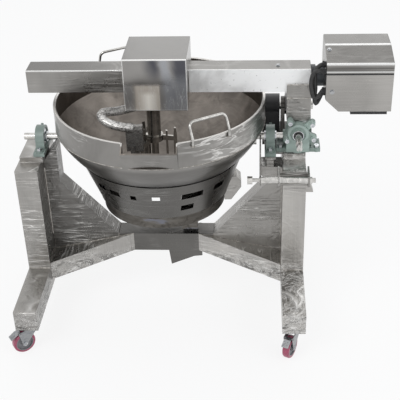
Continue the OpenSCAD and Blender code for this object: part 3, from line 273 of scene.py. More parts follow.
def film_crease_sheen(r, strength, low_edge, high_edge):
    """Mask of the film's fine creases, bunched below one height and above another: bumped, and painted as
    highlights.
    """
    patch = r.clouds(3.0, 3.0, 0.6, 0.6).over(0.44, 0.62)
    across = r.noise(r.stretched((2.0, 2.0, 70.0), (0.0, 0.3, 0.0)), 1.0, 2.0, 0.55, 0.22).ridge(0.022)
    falling = r.noise(r.stretched((2.6, 2.6, 60.0), (0.3, -0.75, 0.4)), 1.0, 2.0, 0.55, 0.3).ridge(0.022)
    lines = across.above(falling) * patch
    if low_edge is not None:
        bunched = r.axis("Z").under(low_edge - 0.07, low_edge)
        if high_edge is not None:
            bunched = bunched.above(r.axis("Z").over(high_edge, high_edge + 0.05))
        folds = bunched_folds(r, 13.0, 4.0, 0.62, 2.2)
        lines = lines.above(bunched * folds.ridge(0.045).above(folds.over(0.58, 0.66) * 0.85))
    return (lines * strength).clamped()


def sheet_steel(name, tone, grain, film=0.5, stain=0.3, low_edge=None, high_edge=None, white_from=None,
                left_shade=0.0, top_shade=0.66, glint=None, gloom=None):
    """Satin stainless sheet: brushed along an axis, faintly smeared, and wrapped in clinging film.

    grain is the axis of the brushing. The film is bunched below low_edge and above high_edge; painted shade
    lies in its bunched hollows and a painted highlight along its creases. From X = white_from on, the front
    still has its white protective film. The left and the tops get painted shade, by the two amounts given
    for them. glint and gloom are functions that give the painted highlights and the painted shade along the
    folds.
    """
    r = Recipe(name)
    brush = [500.0, 500.0, 500.0]
    brush[grain] = 5.0
    fine = r.noise(r.stretched(tuple(brush)), 1.0, 2.0, 0.5)
    broad = r.noise(r.stretched((1.0, 1.0, 0.7)), 2.4, 2.0, 0.5, 0.4)
    smear = r.noise(r.stretched((6.0, 6.0, 2.5)), 1.4, 4.0, 0.58, 1.2)
    crumple = r.noise(r.stretched(turn=(0.4, 0.7, 0.2)), 18.0, 3.0, 0.55, 1.4)
    crease_sheen = film_crease_sheen(r, film, low_edge, high_edge)
    colour = r.blend(broad.over(0.3, 0.7), shade(tone, 0.84), shade(tone, 1.2))
    colour = r.blend(smear.over(0.5, 0.78) * stain, colour, shade(tone, 0.6))
    colour = r.blend(((fine - 0.42) * 0.35).clamped(), colour, shade(tone, 2.0))
    # Painted shade on the tops
    colour = r.blend(r.upward() * top_shade, colour, shade(tone, 0.42))
    # Painted shade on the left
    if left_shade:
        colour = r.blend(r.axis("X").under(POT_X - 0.1, POT_X + 0.1) * left_shade, colour, shade(tone, 0.35))
    if low_edge is not None:
        # Painted shade in the hollows of the bunched film
        hollow_shade = bunched_folds(r, 11.0, 3.0, 0.6, 1.4).over(0.48, 0.58)
        bunched = r.axis("Z").under(low_edge - 0.07, low_edge)
        colour = r.blend(bunched * hollow_shade * 0.85, colour, shade(tone, 0.36))
        crumple = crumple * (bunched * 2.2 + 1.0)
    # Painted highlight along the film's creases
    colour = r.blend(crease_sheen * 0.8, colour, (0.84, 0.83, 0.81))
    roughness = 0.3 + (smear - 0.5) * 0.24 + (broad - 0.5) * 0.16
    metal = 1.0 - crease_sheen * 0.35
    # Painted shade and painted highlights along the folds
    if gloom is not None:
        colour = r.blend((gloom(r) * 0.7).clamped(), colour, shade(tone, 0.3))
    if glint is not None:
        bright = glint(r).clamped()
        colour = r.blend(bright * 0.9, colour, (0.93, 0.93, 0.92))
        metal = metal - bright * 0.55
    if white_from is not None:
        patch = white_film(r, white_from)
        colour = r.blend(patch, colour, (0.92, 0.92, 0.91))
        metal = 1.0 - patch
        roughness = roughness + patch * 0.15
    normal = r.bump(crumple, min(film * 0.9, 0.7), 0.004)
    normal = r.bump(crease_sheen, 0.8, 0.003, normal)
    normal = r.bump(fine, 0.1, 0.0002, normal)
    return r.finish(base_color=colour, metallic=metal, roughness=roughness.clamped(), normal=normal)


def white_film(r, start):
    """Mask of the white film on fronts from X = start on, worn through in specks."""
    specks = r.clouds(90.0, 2.0, 0.5).over(0.7, 0.74)
    whole = r.frontward() * r.axis("X").over(start, start + 0.004) * (1.0 - specks * 0.5)
    return whole * (0.7 + r.clouds(9.0, 3.0, 0.55, 0.5).over(0.3, 0.55) * 0.3)


def beam_edge_highlight(r):
    """Painted highlight along the upper front edge of the beam."""
    low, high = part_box("beam")
    return r.axis("Z").near(high.z - 0.0015, 0.005) * r.axis("Y").under(low.y + 0.002, low.y + 0.006)


def lid_fold_highlights(r):
    """Painted highlights along the folds of the motor's lid and above its lower edge."""
    low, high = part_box("motor_hood")
    z, y = r.axis("Z"), r.axis("Y")
    upper = y.near(LID_FOLD_Y, 0.011) * z.over(high.z - 0.012, high.z - 0.006)
    front = y.under(low.y + 0.006, low.y + 0.012)
    fold = z.near(high.z - LID_DROP, 0.007) * front
    hem = z.near(high.z - LID_HEM_DROP, 0.005) * front
    return upper.above(fold).above(hem * 0.8)


def lid_shadow(r):
    """Painted shade: darker streaks on the upright front of the motor's lid."""
    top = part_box("motor_hood")[HIGH].z
    streak = r.noise(r.stretched((1.2, 1.0, 130.0)), 1.0, 2.0, 0.5)
    return r.frontward() * r.axis("Z").under(top - 0.05, top - 0.036) * (streak.over(0.4, 0.6) * 0.8 + 0.2)


def turned_steel(name, tone, rough, stain=0.25, metal=1.0):
    """Round bar with the marks of the lathe."""
    r = Recipe(name)
    cloud = r.clouds(30.0, 4.0, 0.6, 0.8)
    fine = r.clouds(420.0, 2.0, 0.5)
    spots = r.clouds(75.0, 4.0, 0.7).over(0.62, 0.74)
    colour = r.blend(cloud.over(0.3, 0.72), shade(tone, 0.72), shade(tone, 1.2))
    colour = r.blend(spots * stain, colour, (0.1, 0.085, 0.07))
    return r.finish(
        base_color=colour, metallic=metal, roughness=(rough + (cloud - 0.5) * 0.26).clamped(),
        normal=r.bump(fine, 0.15, 0.0003))


def wrapped_bar(name):
    """Bar wound in layers of torn clear film: grey and white, wrinkled, with painted shade low in the bowl.
    """
    r = Recipe(name)
    wind = r.noise(r.stretched((1.0, 1.0, 2.6), (0.6, 0.4, 0.0)), 26.0, 4.0, 0.6, 1.8)
    fine = r.clouds(95.0, 4.0, 0.66, 1.0)
    colour = r.blend(wind.over(0.32, 0.62), (0.12, 0.115, 0.11), (0.5, 0.49, 0.47))
    colour = r.blend(fine.ridge(0.05).above(wind.ridge(0.03)), colour, (0.88, 0.87, 0.85))
    # Painted shade low in the bowl
    colour = r.blend(r.axis("Z").under(0.93, 0.97) * 0.75, colour, (0.05, 0.047, 0.044))
    normal = r.bump(wind, 0.8, 0.004)
    normal = r.bump(fine, 0.5, 0.001, normal)
    return r.finish(
        base_color=colour, metallic=0.75 - wind * 0.4, roughness=(0.26 + (fine - 0.5) * 0.3).clamped(),
        normal=normal)


def polished_steel(name):
    """Bright polished cover: painted blurred blue and brown reflections on its front, painted highlights on
    its folded edges and painted shade on its top.
    """
    r = Recipe(name)
    centre = middle("gear_cover")
    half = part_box("gear_cover")[HIGH] - centre
    local = r.stretched(move=tuple(-centre))
    x, y, z = (r.axis(letter, local) for letter in "XYZ")
    front = r.frontward()
    columns = r.noise(r.stretched((10.0, 3.0, 1.6), move=(0.7, 0.0, 0.2)), 1.0, 2.0, 0.45, 0.5)
    cloud = r.clouds(6.0, 3.0, 0.55, 0.8)
    ripple = r.noise(r.stretched((2.2, 2.2, 1.2)), 3.0, 2.0, 0.5, 0.6)
    colour = r.blend(cloud.over(0.3, 0.7), (0.26, 0.253, 0.245), (0.33, 0.32, 0.308))
    # Painted shade on the top
    colour = r.blend(r.upward() * 0.8, colour, (0.1, 0.098, 0.094))

    # Painted reflections: dark and pale columns, bent a little by the sheet's own waves
    wavy = x + (cloud - 0.5) * 0.06 + z * 0.12
    upper = z.over(-0.02, 0.09) * wavy.over(-0.05, 0.01) * wavy.under(0.008, 0.048)
    side = z.over(-0.08, 0.04) * wavy.over(0.07, 0.11)
    dark = (upper.above(side) * (columns.over(0.2, 0.5) * 0.3 + 0.7) * front).clamped()
    colour = r.blend(dark * 0.85, colour, (0.055, 0.058, 0.075))
    column = wavy.over(0.02, 0.05) * wavy.under(0.06, 0.09) * front
    colour = r.blend(column * 0.6, colour, (0.38, 0.4, 0.44))

    # Painted reflections: a warm patch at the lower left with a glow in it, and a pale haze at the lower
    # right
    low = z.under(-0.008, 0.012) * front
    warm_reflection = low * x.under(0.014, 0.024) * x.over(-0.104, -0.074)
    colour = r.blend(warm_reflection * 0.9, colour, (0.5, 0.45, 0.39))
    glow = x.near(-0.03, 0.0417) * warm_reflection * z.under(-0.05, -0.02)
    colour = r.blend(glow * 0.9, colour, (0.92, 0.88, 0.8))
    pale_reflection = z.under(-0.005, 0.065) * wavy.over(0.035, 0.085) * front
    colour = r.blend(pale_reflection * 0.7, colour, (0.3, 0.31, 0.33))
    scratch = r.noise(r.stretched((60.0, 3.0, 9.0), (0.0, 0.5, 0.0)), 1.0, 3.0, 0.6, 0.5).ridge(0.02)
    colour = r.blend(scratch * low * 0.4, colour, (0.8, 0.8, 0.8))

    # Painted highlights along the edges of the front
    rim = y.under(-half.y + 0.002, -half.y + 0.007)
    brow = z.over(half.z - 0.006, half.z - 0.002) * rim
    cheeks = x.over(half.x - 0.005, half.x - 0.002).above(x.under(-half.x + 0.002, -half.x + 0.005)) * rim
    hem = z.under(-half.z + 0.002, -half.z + 0.006) * front
    edge = brow.above(cheeks * 0.7).above(hem * 0.6)
    colour = r.blend(edge, colour, (0.93, 0.92, 0.9))
    dull = (warm_reflection * 0.85).above(pale_reflection * 0.6).above(low * 0.5).above(edge * 0.7)
    return r.finish(
        base_color=colour, metallic=1.0 - dull, roughness=(0.2 + (cloud - 0.5) * 0.14).clamped(),
        normal=r.bump(ripple, 0.4, 0.003))


def spun_steel(name, tone, inside):
    """The pot's sheet: smeared film outside, with painted highlights and shade on it; browner and duller
    inside the bowl.
    """
    r = Recipe(name)
    moved = r.stretched(move=(-POT_X, 0.0, 0.0))
    x, y, z = (r.axis(letter, moved) for letter in "XYZ")
    depth = RIM_Z - z
    radius = (x * x + y * y) ** 0.5
    turning = r.add("ShaderNodeCombineXYZ", {"X": radius * 260.0, "Y": z * 260.0})
    rings = r.noise(turning, 1.0, 3.0, 0.6)
    broad = r.noise(r.stretched((1.0, 1.0, 0.6)), 4.2, 4.0, 0.6, 0.8)
    smear = r.noise(r.stretched((3.4, 3.4, 12.0), (0.0, 0.25, 0.0)), 1.2, 5.0, 0.65, 1.6)
    nx, ny, nz = (r.facing(letter) for letter in "XYZ")
    inward = (x * nx + y * ny) / (radius + 0.001)
    hollow = nz.over(0.15, 0.5).above((inward * -1.0).over(0.1, 0.5))

    # Outside: painted highlight streaks, gleams and band under the collar; painted shade on the dish and
    # left
    outer = r.blend(broad.over(0.3, 0.7), shade(tone, 0.82), shade(tone, 1.25))
    lines = r.noise(r.stretched((5.0, 5.0, 34.0), (0.0, 0.35, 0.0)), 1.0, 3.0, 0.6, 0.8).ridge(0.04)
    patch = r.clouds(3.6, 2.0, 0.5, 0.5)
    outer = r.blend((lines * patch.over(0.48, 0.6)) * 0.8, outer, (0.84, 0.83, 0.81))
    gleam = patch.over(0.56, 0.68) * smear.over(0.42, 0.6)
    outer = r.blend(gleam * 0.5, outer, (0.7, 0.69, 0.67))
    band = depth.over(COLLAR_H, COLLAR_H + 0.012) * depth.under(COLLAR_H + 0.08, COLLAR_H + 0.13)
    outer = r.blend(depth.over(COLLAR_H + 0.002, COLLAR_H + 0.032) * 0.85, outer, shade(tone, 0.3))
    outer = r.blend(band * (gleam * 0.5 + 0.12), outer, shade(tone, 2.2))
    outer = r.blend(x.under(-0.16, 0.1) * 0.35, outer, shade(tone, 0.5))

    # Inside: brown clouds, paler patches and a darker bottom
    inner = r.blend(broad.over(0.3, 0.72), shade(inside, 0.8), shade(inside, 1.25))
    burnt = r.clouds(7.0, 4.0, 0.62, 1.0).over(0.5, 0.66)
    wiped = r.clouds(5.0, 4.0, 0.6, 0.6).over(0.56, 0.7)
    inner = r.blend(burnt * 0.5, inner, shade(inside, 0.42))
    inner = r.blend(wiped * 0.4, inner, shade(inside, 1.9))
    inner = r.blend(smear.ridge(0.05) * 0.1, inner, (0.5, 0.47, 0.43))
    inner = r.blend(depth.over(0.2, 0.36) * 0.4, inner, shade(inside, 0.6))

    colour = r.blend(hollow, outer, inner)
    # Painted highlight along the rim
    edge = depth.under(0.006, 0.01) * nz.over(0.2, 0.6)
    colour = r.blend(edge * 0.8, colour, (0.7, 0.69, 0.67))
    roughness = 0.33 + (smear - 0.5) * 0.3 + (rings - 0.5) * 0.08 + hollow * 0.05
    dents = r.clouds(12.0, 3.0, 0.55, 0.8)
    normal = r.bump(dents, 0.4, 0.004)
    normal = r.bump(rings, 0.16, 0.0002, normal)
    return r.finish(base_color=colour, metallic=1.0, roughness=roughness.clamped(), normal=normal)


def painted_casting(name, tone, gloss=0.46):
    """Sand-cast iron under paint, chipped on its edges."""
    r = Recipe(name)
    sand = r.clouds(420.0, 4.0, 0.6)
    lump = r.clouds(60.0, 3.0, 0.5)
    chips = r.clouds(38.0, 5.0, 0.7, 0.8).over(0.66, 0.72)
    dust = r.clouds(11.0, 4.0, 0.6)
    colour = r.blend(dust.over(0.3, 0.75), shade(tone, 0.8), shade(tone, 1.16))
    colour = r.blend(chips * 0.7, colour, (0.16, 0.15, 0.14))
    roughness = gloss + (dust - 0.5) * 0.3 + chips * 0.1
    normal = r.bump(sand, 0.35, 0.0006)
    normal = r.bump(lump, 0.25, 0.0016, normal)
    return r.finish(base_color=colour, metallic=chips * 0.5, roughness=roughness.clamped(), normal=normal)


def plated_zinc(name, dull=1.0):
    """Bright zinc plating with a cloudy passivation."""
    r = Recipe(name)
    cloud = r.clouds(45.0, 4.0, 0.6, 1.2)
    fine = r.clouds(500.0, 2.0, 0.5)
    stain = r.clouds(90.0, 4.0, 0.7).over(0.64, 0.75)
    colour = r.blend(cloud.over(0.3, 0.7), shade((0.5, 0.52, 0.55), dull), shade((0.76, 0.77, 0.78), dull))
    colour = r.blend(stain * 0.5, colour, (0.22, 0.19, 0.15))
    return r.finish(
        base_color=colour, metallic=1.0, roughness=(0.3 + (cloud - 0.5) * 0.22).clamped(),
        normal=r.bump(fine, 0.12, 0.0003))


def heated_steel(name):
    """Dull steel of the furnace, browned and blued by its flame."""
    r = Recipe(name)
    heat = r.noise(r.stretched((1.0, 1.0, 2.4)), 7.0, 4.0, 0.6, 1.4)
    soot = r.clouds(26.0, 5.0, 0.65, 0.6)
    colour = r.blend(heat.over(0.3, 0.7), (0.07, 0.063, 0.056), (0.17, 0.16, 0.145))
    colour = r.blend(heat.over(0.6, 0.72) * 0.5, colour, (0.2, 0.22, 0.3))
    colour = r.blend(soot.over(0.5, 0.72) * 0.7, colour, (0.05, 0.045, 0.04))
    return r.finish(
        base_color=colour, metallic=0.9, roughness=(0.46 + (soot - 0.5) * 0.4).clamped(),
        normal=r.bump(soot, 0.2, 0.001))


def rubber(name, tone):
    """Black rubber with a dusty bloom."""
    r = Recipe(name)
    dust = r.clouds(60.0, 4.0, 0.65)
    fine = r.clouds(900.0, 2.0, 0.5)
    colour = r.blend(dust.over(0.45, 0.8) * 0.6, tone, tuple(c * 2.4 + 0.03 for c in tone))
    return r.finish(
        base_color=colour, roughness=(0.55 + (dust - 0.5) * 0.3).clamped(), normal=r.bump(fine, 0.2, 0.0002))


def caster_tread(name, tone):
    """Crimson polyurethane tyre, greyed where it rolls."""
    r = Recipe(name)
    grime = r.clouds(150.0, 5.0, 0.65, 0.8)
    broad = r.clouds(40.0, 3.0, 0.5)
    colour = r.blend(broad.over(0.3, 0.7), shade(tone, 0.8), tone)
    colour = r.blend(grime.over(0.46, 0.7) * 0.55, colour, (0.13, 0.11, 0.11))
    return r.finish(
        base_color=colour, roughness=(0.36 + (grime - 0.5) * 0.4).clamped(), coat_weight=0.15,
        normal=r.bump(grime, 0.18, 0.0006))


def moulded_plastic(name, tone, rough=0.5):
    """Moulded nylon with a fine grain."""
    r = Recipe(name)
    grain = r.clouds(700.0, 2.0, 0.5)
    dirt = r.clouds(50.0, 5.0, 0.65)
    colour = r.blend(dirt.over(0.5, 0.75) * 0.5, tone, shade(tone, 0.45))
    roughness = (rough + (dirt - 0.5) * 0.2).clamped()
    return r.finish(base_color=colour, roughness=roughness, normal=r.bump(grain, 0.2, 0.0002))


def bronze_metal(name):
    """Machined bronze under a film of oil."""
    r = Recipe(name)
    oil = r.clouds(80.0, 4.0, 0.6)
    colour = r.blend(oil.over(0.35, 0.7), (0.34, 0.22, 0.1), (0.66, 0.46, 0.22))
    return r.finish(base_color=colour, metallic=1.0, roughness=(0.3 + (oil - 0.5) * 0.3).clamped())


def weld_metal(name):
    """Bright bead with a brown and blue halo of heat."""
    r = Recipe(name)
    heat = r.clouds(60.0, 3.0, 0.6, 0.8)
    halo = r.clouds(25.0, 3.0, 0.6).over(0.56, 0.66)
    colour = r.blend(heat.over(0.35, 0.7), (0.3, 0.28, 0.25), (0.62, 0.6, 0.57))
    colour = r.blend(halo * 0.5, colour, (0.16, 0.14, 0.15))
    return r.finish(base_color=colour, metallic=1.0, roughness=(0.34 + (heat - 0.5) * 0.2).clamped())


def clad(material, *nodes):
    """Gives carried parts their finish."""
    for node in nodes:
        mesh = NODES[node].data
        if mesh.materials:
            for index in range(len(mesh.materials)):
                mesh.materials[index] = material
        else:
            mesh.materials.append(material)


def known(name):
    """A finish that an earlier step made."""
    return bpy.data.materials[name]


def soften(width, *nodes):
    """Rounds the folded edges of sheet parts, so that they catch the light."""
    for node in nodes:
        joined = NODES[node].modifiers.new("joined", "WELD")
        joined.merge_threshold = 0.00002
        edge = NODES[node].modifiers.new("edge", "BEVEL")
        edge.width = width
        edge.segments = 2
        edge.limit_method = "ANGLE"
        edge.angle_limit = math.radians(40)


# Small pieces


def built(name, body, material, work):
    """Turns a finished piece into an object that moves with a body."""
    mesh = bpy.data.meshes.new(name)
    bmesh.ops.recalc_face_normals(work, faces=work.faces)
    work.to_mesh(mesh)
    work.free()
    mesh.materials.append(material)
    holder = bpy.data.objects.new(name, mesh)
    bpy.context.scene.collection.objects.link(holder)
    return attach(holder, body)


def add_run(work, run, radius, foot_of):
    """Swells and narrows a run of weld about its middle line, and adds it to a piece.

    foot_of gives the number of the ring that a point lies on, and the ring's centre.
    """
    for vert in run.verts:
        i, foot = foot_of(vert.co)
        size = 0.8 + 0.2 * abs(math.cos(i * 1.05)) + 0.12 * math.sin(i * 0.173)
        vert.co = foot + (vert.co - foot).normalized() * radius * size
    mesh = bpy.data.meshes.new("run")
    run.to_mesh(mesh)
    run.free()
    work.from_mesh(mesh)
    bpy.data.meshes.remove(mesh)


def set_along(centre, way):
    """Matrix that sets a round piece's middle at centre and its axis along way."""
    return Matrix.Translation(centre) @ way.to_track_quat("Z", "Y").to_matrix().to_4x4()


def weld_start(run, centre, way, radius):
    """Starts a run of weld with its first ring, and gives the ring's edges."""
    bmesh.ops.create_circle(run, segments=WELD_SIDES, radius=radius, matrix=set_along(centre, way))
    return list(run.edges)


def bead(work, start, end, radius):
    """Lays a rippled run of weld from one point to another."""
    way = (end - start).normalized()
    count = max(int((end - start).length / (radius * WELD_STEP)), 1)
    step = (end - start) / count
    run = bmesh.new()
    edges = weld_start(run, start, way, radius)
    grown = bmesh.ops.spin(
        run, geom=edges, cent=start, axis=way, dvec=step, angle=0.0, steps=count, use_duplicate=False)
    last = [item for item in grown["geom_last"] if isinstance(item, bmesh.types.BMEdge)]

    def foot_of(point):
        i = round((point - start).dot(way) / step.length)
        return i, start + step * i

    for rim in (edges, last):
        bmesh.ops.contextual_create(run, geom=rim)
    add_run(work, run, radius, foot_of)


def bead_round(work, centre, reach, radius):
    """Lays a rippled run of weld round an upright axis."""
    count = int(math.tau * reach / (radius * WELD_STEP))
    run = bmesh.new()
    edges = weld_start(run, centre + Vector((reach, 0.0, 0.0)), Vector((0.0, 1.0, 0.0)), radius)
    bmesh.ops.spin(
        run, geom=edges, cent=centre, axis=(0.0, 0.0, 1.0), angle=math.tau, steps=count, use_merge=True)

    def foot_of(point):
        angle = math.atan2(point.y - centre.y, point.x - centre.x)
        i = round(angle / math.tau * count) % count
        turn = math.tau * i / count
        return i, centre + Vector((math.cos(turn), math.sin(turn), 0.0)) * reach

    add_run(work, run, radius, foot_of)


def disc(work, centre, way, radius, length, sides):
    """A short bar of many sides along way, round its centre."""
    bmesh.ops.create_cone(
        work, cap_ends=True, segments=sides, radius1=radius, radius2=radius, depth=length,
        matrix=set_along(centre, way))


def ring_of(work, centre, inner, outer, depth):
    """A flat ring on a front, standing out towards the viewer by depth."""
    corners = [
        work.verts.new(centre + Vector((reach, -out, 0.0)))
        for reach, out in ((inner, 0.0), (inner, depth), (outer, depth), (outer, 0.0))
    ]
    edges = [work.edges.new(pair) for pair in zip(corners, corners[1:] + corners[:1])]
    bmesh.ops.spin(
        work, geom=edges, cent=centre, axis=(0.0, 1.0, 0.0), angle=math.tau, steps=48, use_merge=True)


def screw(work, foot, way, radius, washer=0.0012, head=0.0048):
    """A washer and a six-sided head standing on foot."""
    disc(work, foot + way * washer / 2, way, radius * 1.35, washer, 24)
    disc(work, foot + way * (washer + head / 2), way, radius, head, 6)


def slab(work, low, high):
    """A box between two corners."""
    low, high = Vector(low), Vector(high)
    size = Matrix.Diagonal((high - low).to_4d())
    bmesh.ops.create_cube(work, size=1.0, matrix=Matrix.Translation((low + high) / 2) @ size)


def flat(degrees):
    """The level direction at an angle from X."""
    turn = math.radians(degrees)
    return Vector((math.cos(turn), math.sin(turn), 0.0))


# Settings


def colour_setting(name, description, default):
    """A colour that a user can change."""
    return bpy.props.FloatVectorProperty(
        name=name, description=description, subtype="COLOR", size=3, default=default)


def length_setting(name, description, default):
    """A length that a user can change."""
    return bpy.props.FloatProperty(name=name, description=description, unit="LENGTH", default=default)


class MixerFinish(bpy.types.PropertyGroup):
    """Colours of the finishes."""

    steel: colour_setting("Steel", "Tone of the stainless sheet", (0.28, 0.272, 0.26))
    bowl: colour_setting("Bowl", "Tone inside the pot", (0.23, 0.207, 0.186))
    casting: colour_setting("Casting", "Paint of the castings", (0.27, 0.335, 0.305))
    tread: colour_setting("Tread", "Colour of the caster tyres", (0.42, 0.07, 0.14))


class MixerSizes(bpy.types.PropertyGroup):
    """Sizes of the trim and of the folded edges."""

    weld: length_setting("Frame weld", "Half width of the frame's weld runs", 0.0026)
    seam: length_setting("Pot seam", "Half width of the seam below the collar", 0.0016)
    fold: length_setting("Large fold", "Rounding of stands, beam and lid", 0.003)
    cover_fold: length_setting("Cover fold", "Rounding of the gear cover", 0.004)
    small_fold: length_setting("Small fold", "Rounding of the smaller sheet parts", 0.0016)
    screw: length_setting("Screw", "Half width of the screw heads on top", 0.007)
    side_screw: length_setting("Side screw", "Half width of the screw heads on the tray", 0.0075)


class MixerView(bpy.types.PropertyGroup):
    """Camera and light."""

    focal: bpy.props.FloatProperty(
        name="Focal length", description="Camera lens in millimetres", default=80.4)
    key_power: bpy.props.FloatProperty(
        name="Key light", description="Power of the main lamp in watts", default=74.0)
    floor: colour_setting("Floor", "Colour of the floor", (0.9, 0.9, 0.9))


# Stage


def seen_directly(tree):
    """1 for rays from the camera, from gloss and through glass."""
    path = tree.nodes.new("ShaderNodeLightPath")
    seen = path.outputs["Is Camera Ray"]
    for name in ("Is Glossy Ray", "Is Transmission Ray"):
        either = tree.nodes.new("ShaderNodeMath")
        either.operation = "MAXIMUM"
        tree.links.new(seen, either.inputs[0])
        tree.links.new(path.outputs[name], either.inputs[1])
        seen = either.outputs[0]
    return seen


def mixed(tree, factor, first, second):
    """A mix of two shaders."""
    choose = tree.nodes.new("ShaderNodeMixShader")
    for index, source in enumerate((factor, first, second)):
        tree.links.new(source, choose.inputs[index])
    return choose.outputs[0]


class MIXER_OT_stage(bpy.types.Operator):
    """Lays the floor and sets the light and the camera"""

    bl_idname = "mixer.stage"
    bl_label = "Stage"

    def execute(self, context):
        view = context.scene.mixer_view
        self.ground(context, view.floor)
        self.lamp(context, "key", (-2.6, -3.2, 4.2), 2.6, view.key_power)
        self.lamp(context, "fill", (3.6, -2.4, 3.0), 3.0, view.key_power * 0.5)
        self.lamp(context, "back", (0.4, 3.6, 3.6), 3.0, view.key_power * 0.34)
        self.sky(context)
        self.camera(context, view.focal)
        return {"FINISHED"}

    def ground(self, context, tone):
        """A pale floor, lifted towards white where the camera or gloss sees it, that keeps the shadow."""
        mesh = bpy.data.meshes.new("floor")
        work = bmesh.new()
        bmesh.ops.create_grid(work, x_segments=1, y_segments=1, size=14.0)
        work.to_mesh(mesh)
        work.free()
        floor = bpy.data.objects.new("floor", mesh)
        context.scene.collection.objects.link(floor)
        floor.location.z = CAD_BOX[LOW][2] - 0.0005
        r = Recipe("pale_floor")
        colour = r.blend(r.clouds(1.5, 2.0, 0.5), shade(tone, 0.99), tone)
        floor.data.materials.append(r.finish(base_color=colour, roughness=0.8))
        lift = Wire(r, seen_directly(r.tree)) * 0.84
        glow = r.add("ShaderNodeEmission", {"Color": (1.0, 1.0, 1.0, 1.0)})
        shown = mixed(r.tree, lift.socket, r.shader.outputs["BSDF"], glow.socket)
        r.tree.links.new(shown, r.output.inputs["Surface"])

    def lamp(self, context, name, place, size, power):
        """A soft square lamp that looks at the pot."""
        data = bpy.data.lights.new(name, "AREA")
        data.shape = "SQUARE"
        data.size = size
        data.energy = power
        holder = bpy.data.objects.new(name, data)
        holder.location = place
        aim = Vector((0.0, 0.0, 0.7)) - Vector(place)
        holder.rotation_euler = aim.to_track_quat("-Z", "Y").to_euler()
        context.scene.collection.objects.link(holder)

    def sky(self, context):
        """A pale surround, white where the camera and gloss see it."""
        world = bpy.data.worlds.new("surround")
        context.scene.world = world
        world.use_nodes = True
        tree = world.node_tree
        tree.nodes.clear()
        sources = []
        for colour, strength in (((0.95, 0.97, 1.0, 1.0), 0.7), ((1.0, 1.0, 1.0, 1.0), 1.0)):
            background = tree.nodes.new("ShaderNodeBackground")
            background.inputs["Color"].default_value = colour
            background.inputs["Strength"].default_value = strength
            sources.append(background.outputs[0])
        output = tree.nodes.new("ShaderNodeOutputWorld")
        tree.links.new(mixed(tree, seen_directly(tree), *sources), output.inputs["Surface"])

    def camera(self, context, focal):
        """The camera of the photograph."""
        data = bpy.data.cameras.new("camera")
        data.sensor_width = 36.0
        data.lens = focal
        holder = bpy.data.objects.new("camera", data)
        holder.location = Vector(CAMERA_PLACE) + Vector((POT_X, 0.0, 0.0))
        holder.rotation_euler = Euler([math.radians(turn) for turn in CAMERA_TURN])
        context.scene.collection.objects.link(holder)
        context.scene.camera = holder


# Finishes of the carried parts


class MIXER_OT_stand(bpy.types.Operator):
    """Finishes the stands, what joins them and the plates that carry the head"""

    bl_idname = "mixer.stand"
    bl_label = "Stand"

    def execute(self, context):
        tone = context.scene.mixer_finish.steel
        upright = sheet_steel("upright_sheet", shade(tone, 1.1), 2, film=0.75, low_edge=0.24, top_shade=0.0)
        filmed = sheet_steel(
            "filmed_sheet", shade(tone, 1.5), 2, film=1.0, stain=0.2, low_edge=0.28, high_edge=0.66,
            top_shade=0.1)
        clad(upright, "left_stand", "head_arm", "saddle_plates", "cross_shaft_bracket")
        clad(filmed, "right_stand", "struts")
        clad(sheet_steel("web_sheet", shade(tone, 1.08), 2, film=0.8, left_shade=0.75), "cradle_webs")
        # A darker copy of the steel: painted shade on the cradle beam under the pot
        clad(sheet_steel("cradle_sheet", shade(tone, 0.54), 0, film=0.4), "cradle_beam")
        clad(sheet_steel("wrapped_box", shade(tone, 1.2), 2, film=1.0), "gas_box")
        clad(sheet_steel("bracket_plate", (0.1, 0.095, 0.09), 2, film=0.2, stain=0.5), "hinge_bracket")
        sizes = context.scene.mixer_sizes
        soften(
            sizes.small_fold, "cradle_beam", "cradle_webs", "struts", "saddle_plates", "cross_shaft_bracket")
        soften(sizes.fold, "left_stand", "right_stand", "head_arm")
        return {"FINISHED"}


class MIXER_OT_head(bpy.types.Operator):
    """Finishes the beam, the gear cover, and the motor's lid and tray"""

    bl_idname = "mixer.head"
    bl_label = "Head"

    def execute(self, context):
        tone = context.scene.mixer_finish.steel
        film_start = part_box("gear_cover")[HIGH].x
        beam = sheet_steel(
            "beam_sheet", shade(tone, 1.02), 0, film=0.12, white_from=film_start, glint=beam_edge_highlight)
        hood = sheet_steel(
            "hood_sheet", shade(tone, 0.95), 0, film=0.25, stain=0.15, top_shade=0.75, glint=lid_fold_highlights,
            gloom=lid_shadow)
        clad(beam, "beam")
        clad(hood, "motor_hood")
        clad(sheet_steel("tray_sheet", shade(tone, 1.35), 0, film=0.2, stain=0.15), "motor_tray")
        clad(polished_steel("polished_cover"), "gear_cover")
        sizes = context.scene.mixer_sizes
        soften(sizes.small_fold, "motor_tray")
        soften(sizes.fold, "beam", "motor_hood")
        soften(sizes.cover_fold, "gear_cover")
        return {"FINISHED"}


class MIXER_OT_shafts(bpy.types.Operator):
    """Finishes the shafts, the stirrer and the wrapped scraper arm"""

    bl_idname = "mixer.shafts"
    bl_label = "Shafts and stirrer"

    def execute(self, context):
        clad(
            turned_steel("turned_shaft", (0.6, 0.59, 0.57), 0.22), "cross_shaft", "hinge_shaft",
            "worm_shaft", "drive_shaft", "shaft_sleeve", "left_trunnion", "right_trunnion")
        clad(turned_steel("stirrer_steel", (0.3, 0.285, 0.265), 0.14, 0.8, 0.92), "agitator", "planet_case")
        clad(wrapped_bar("wrapped_arm"), "sweep_arm")
        clad(moulded_plastic("scraper_strip", (0.72, 0.7, 0.64), 0.4), "sweep_scraper")
        return {"FINISHED"}


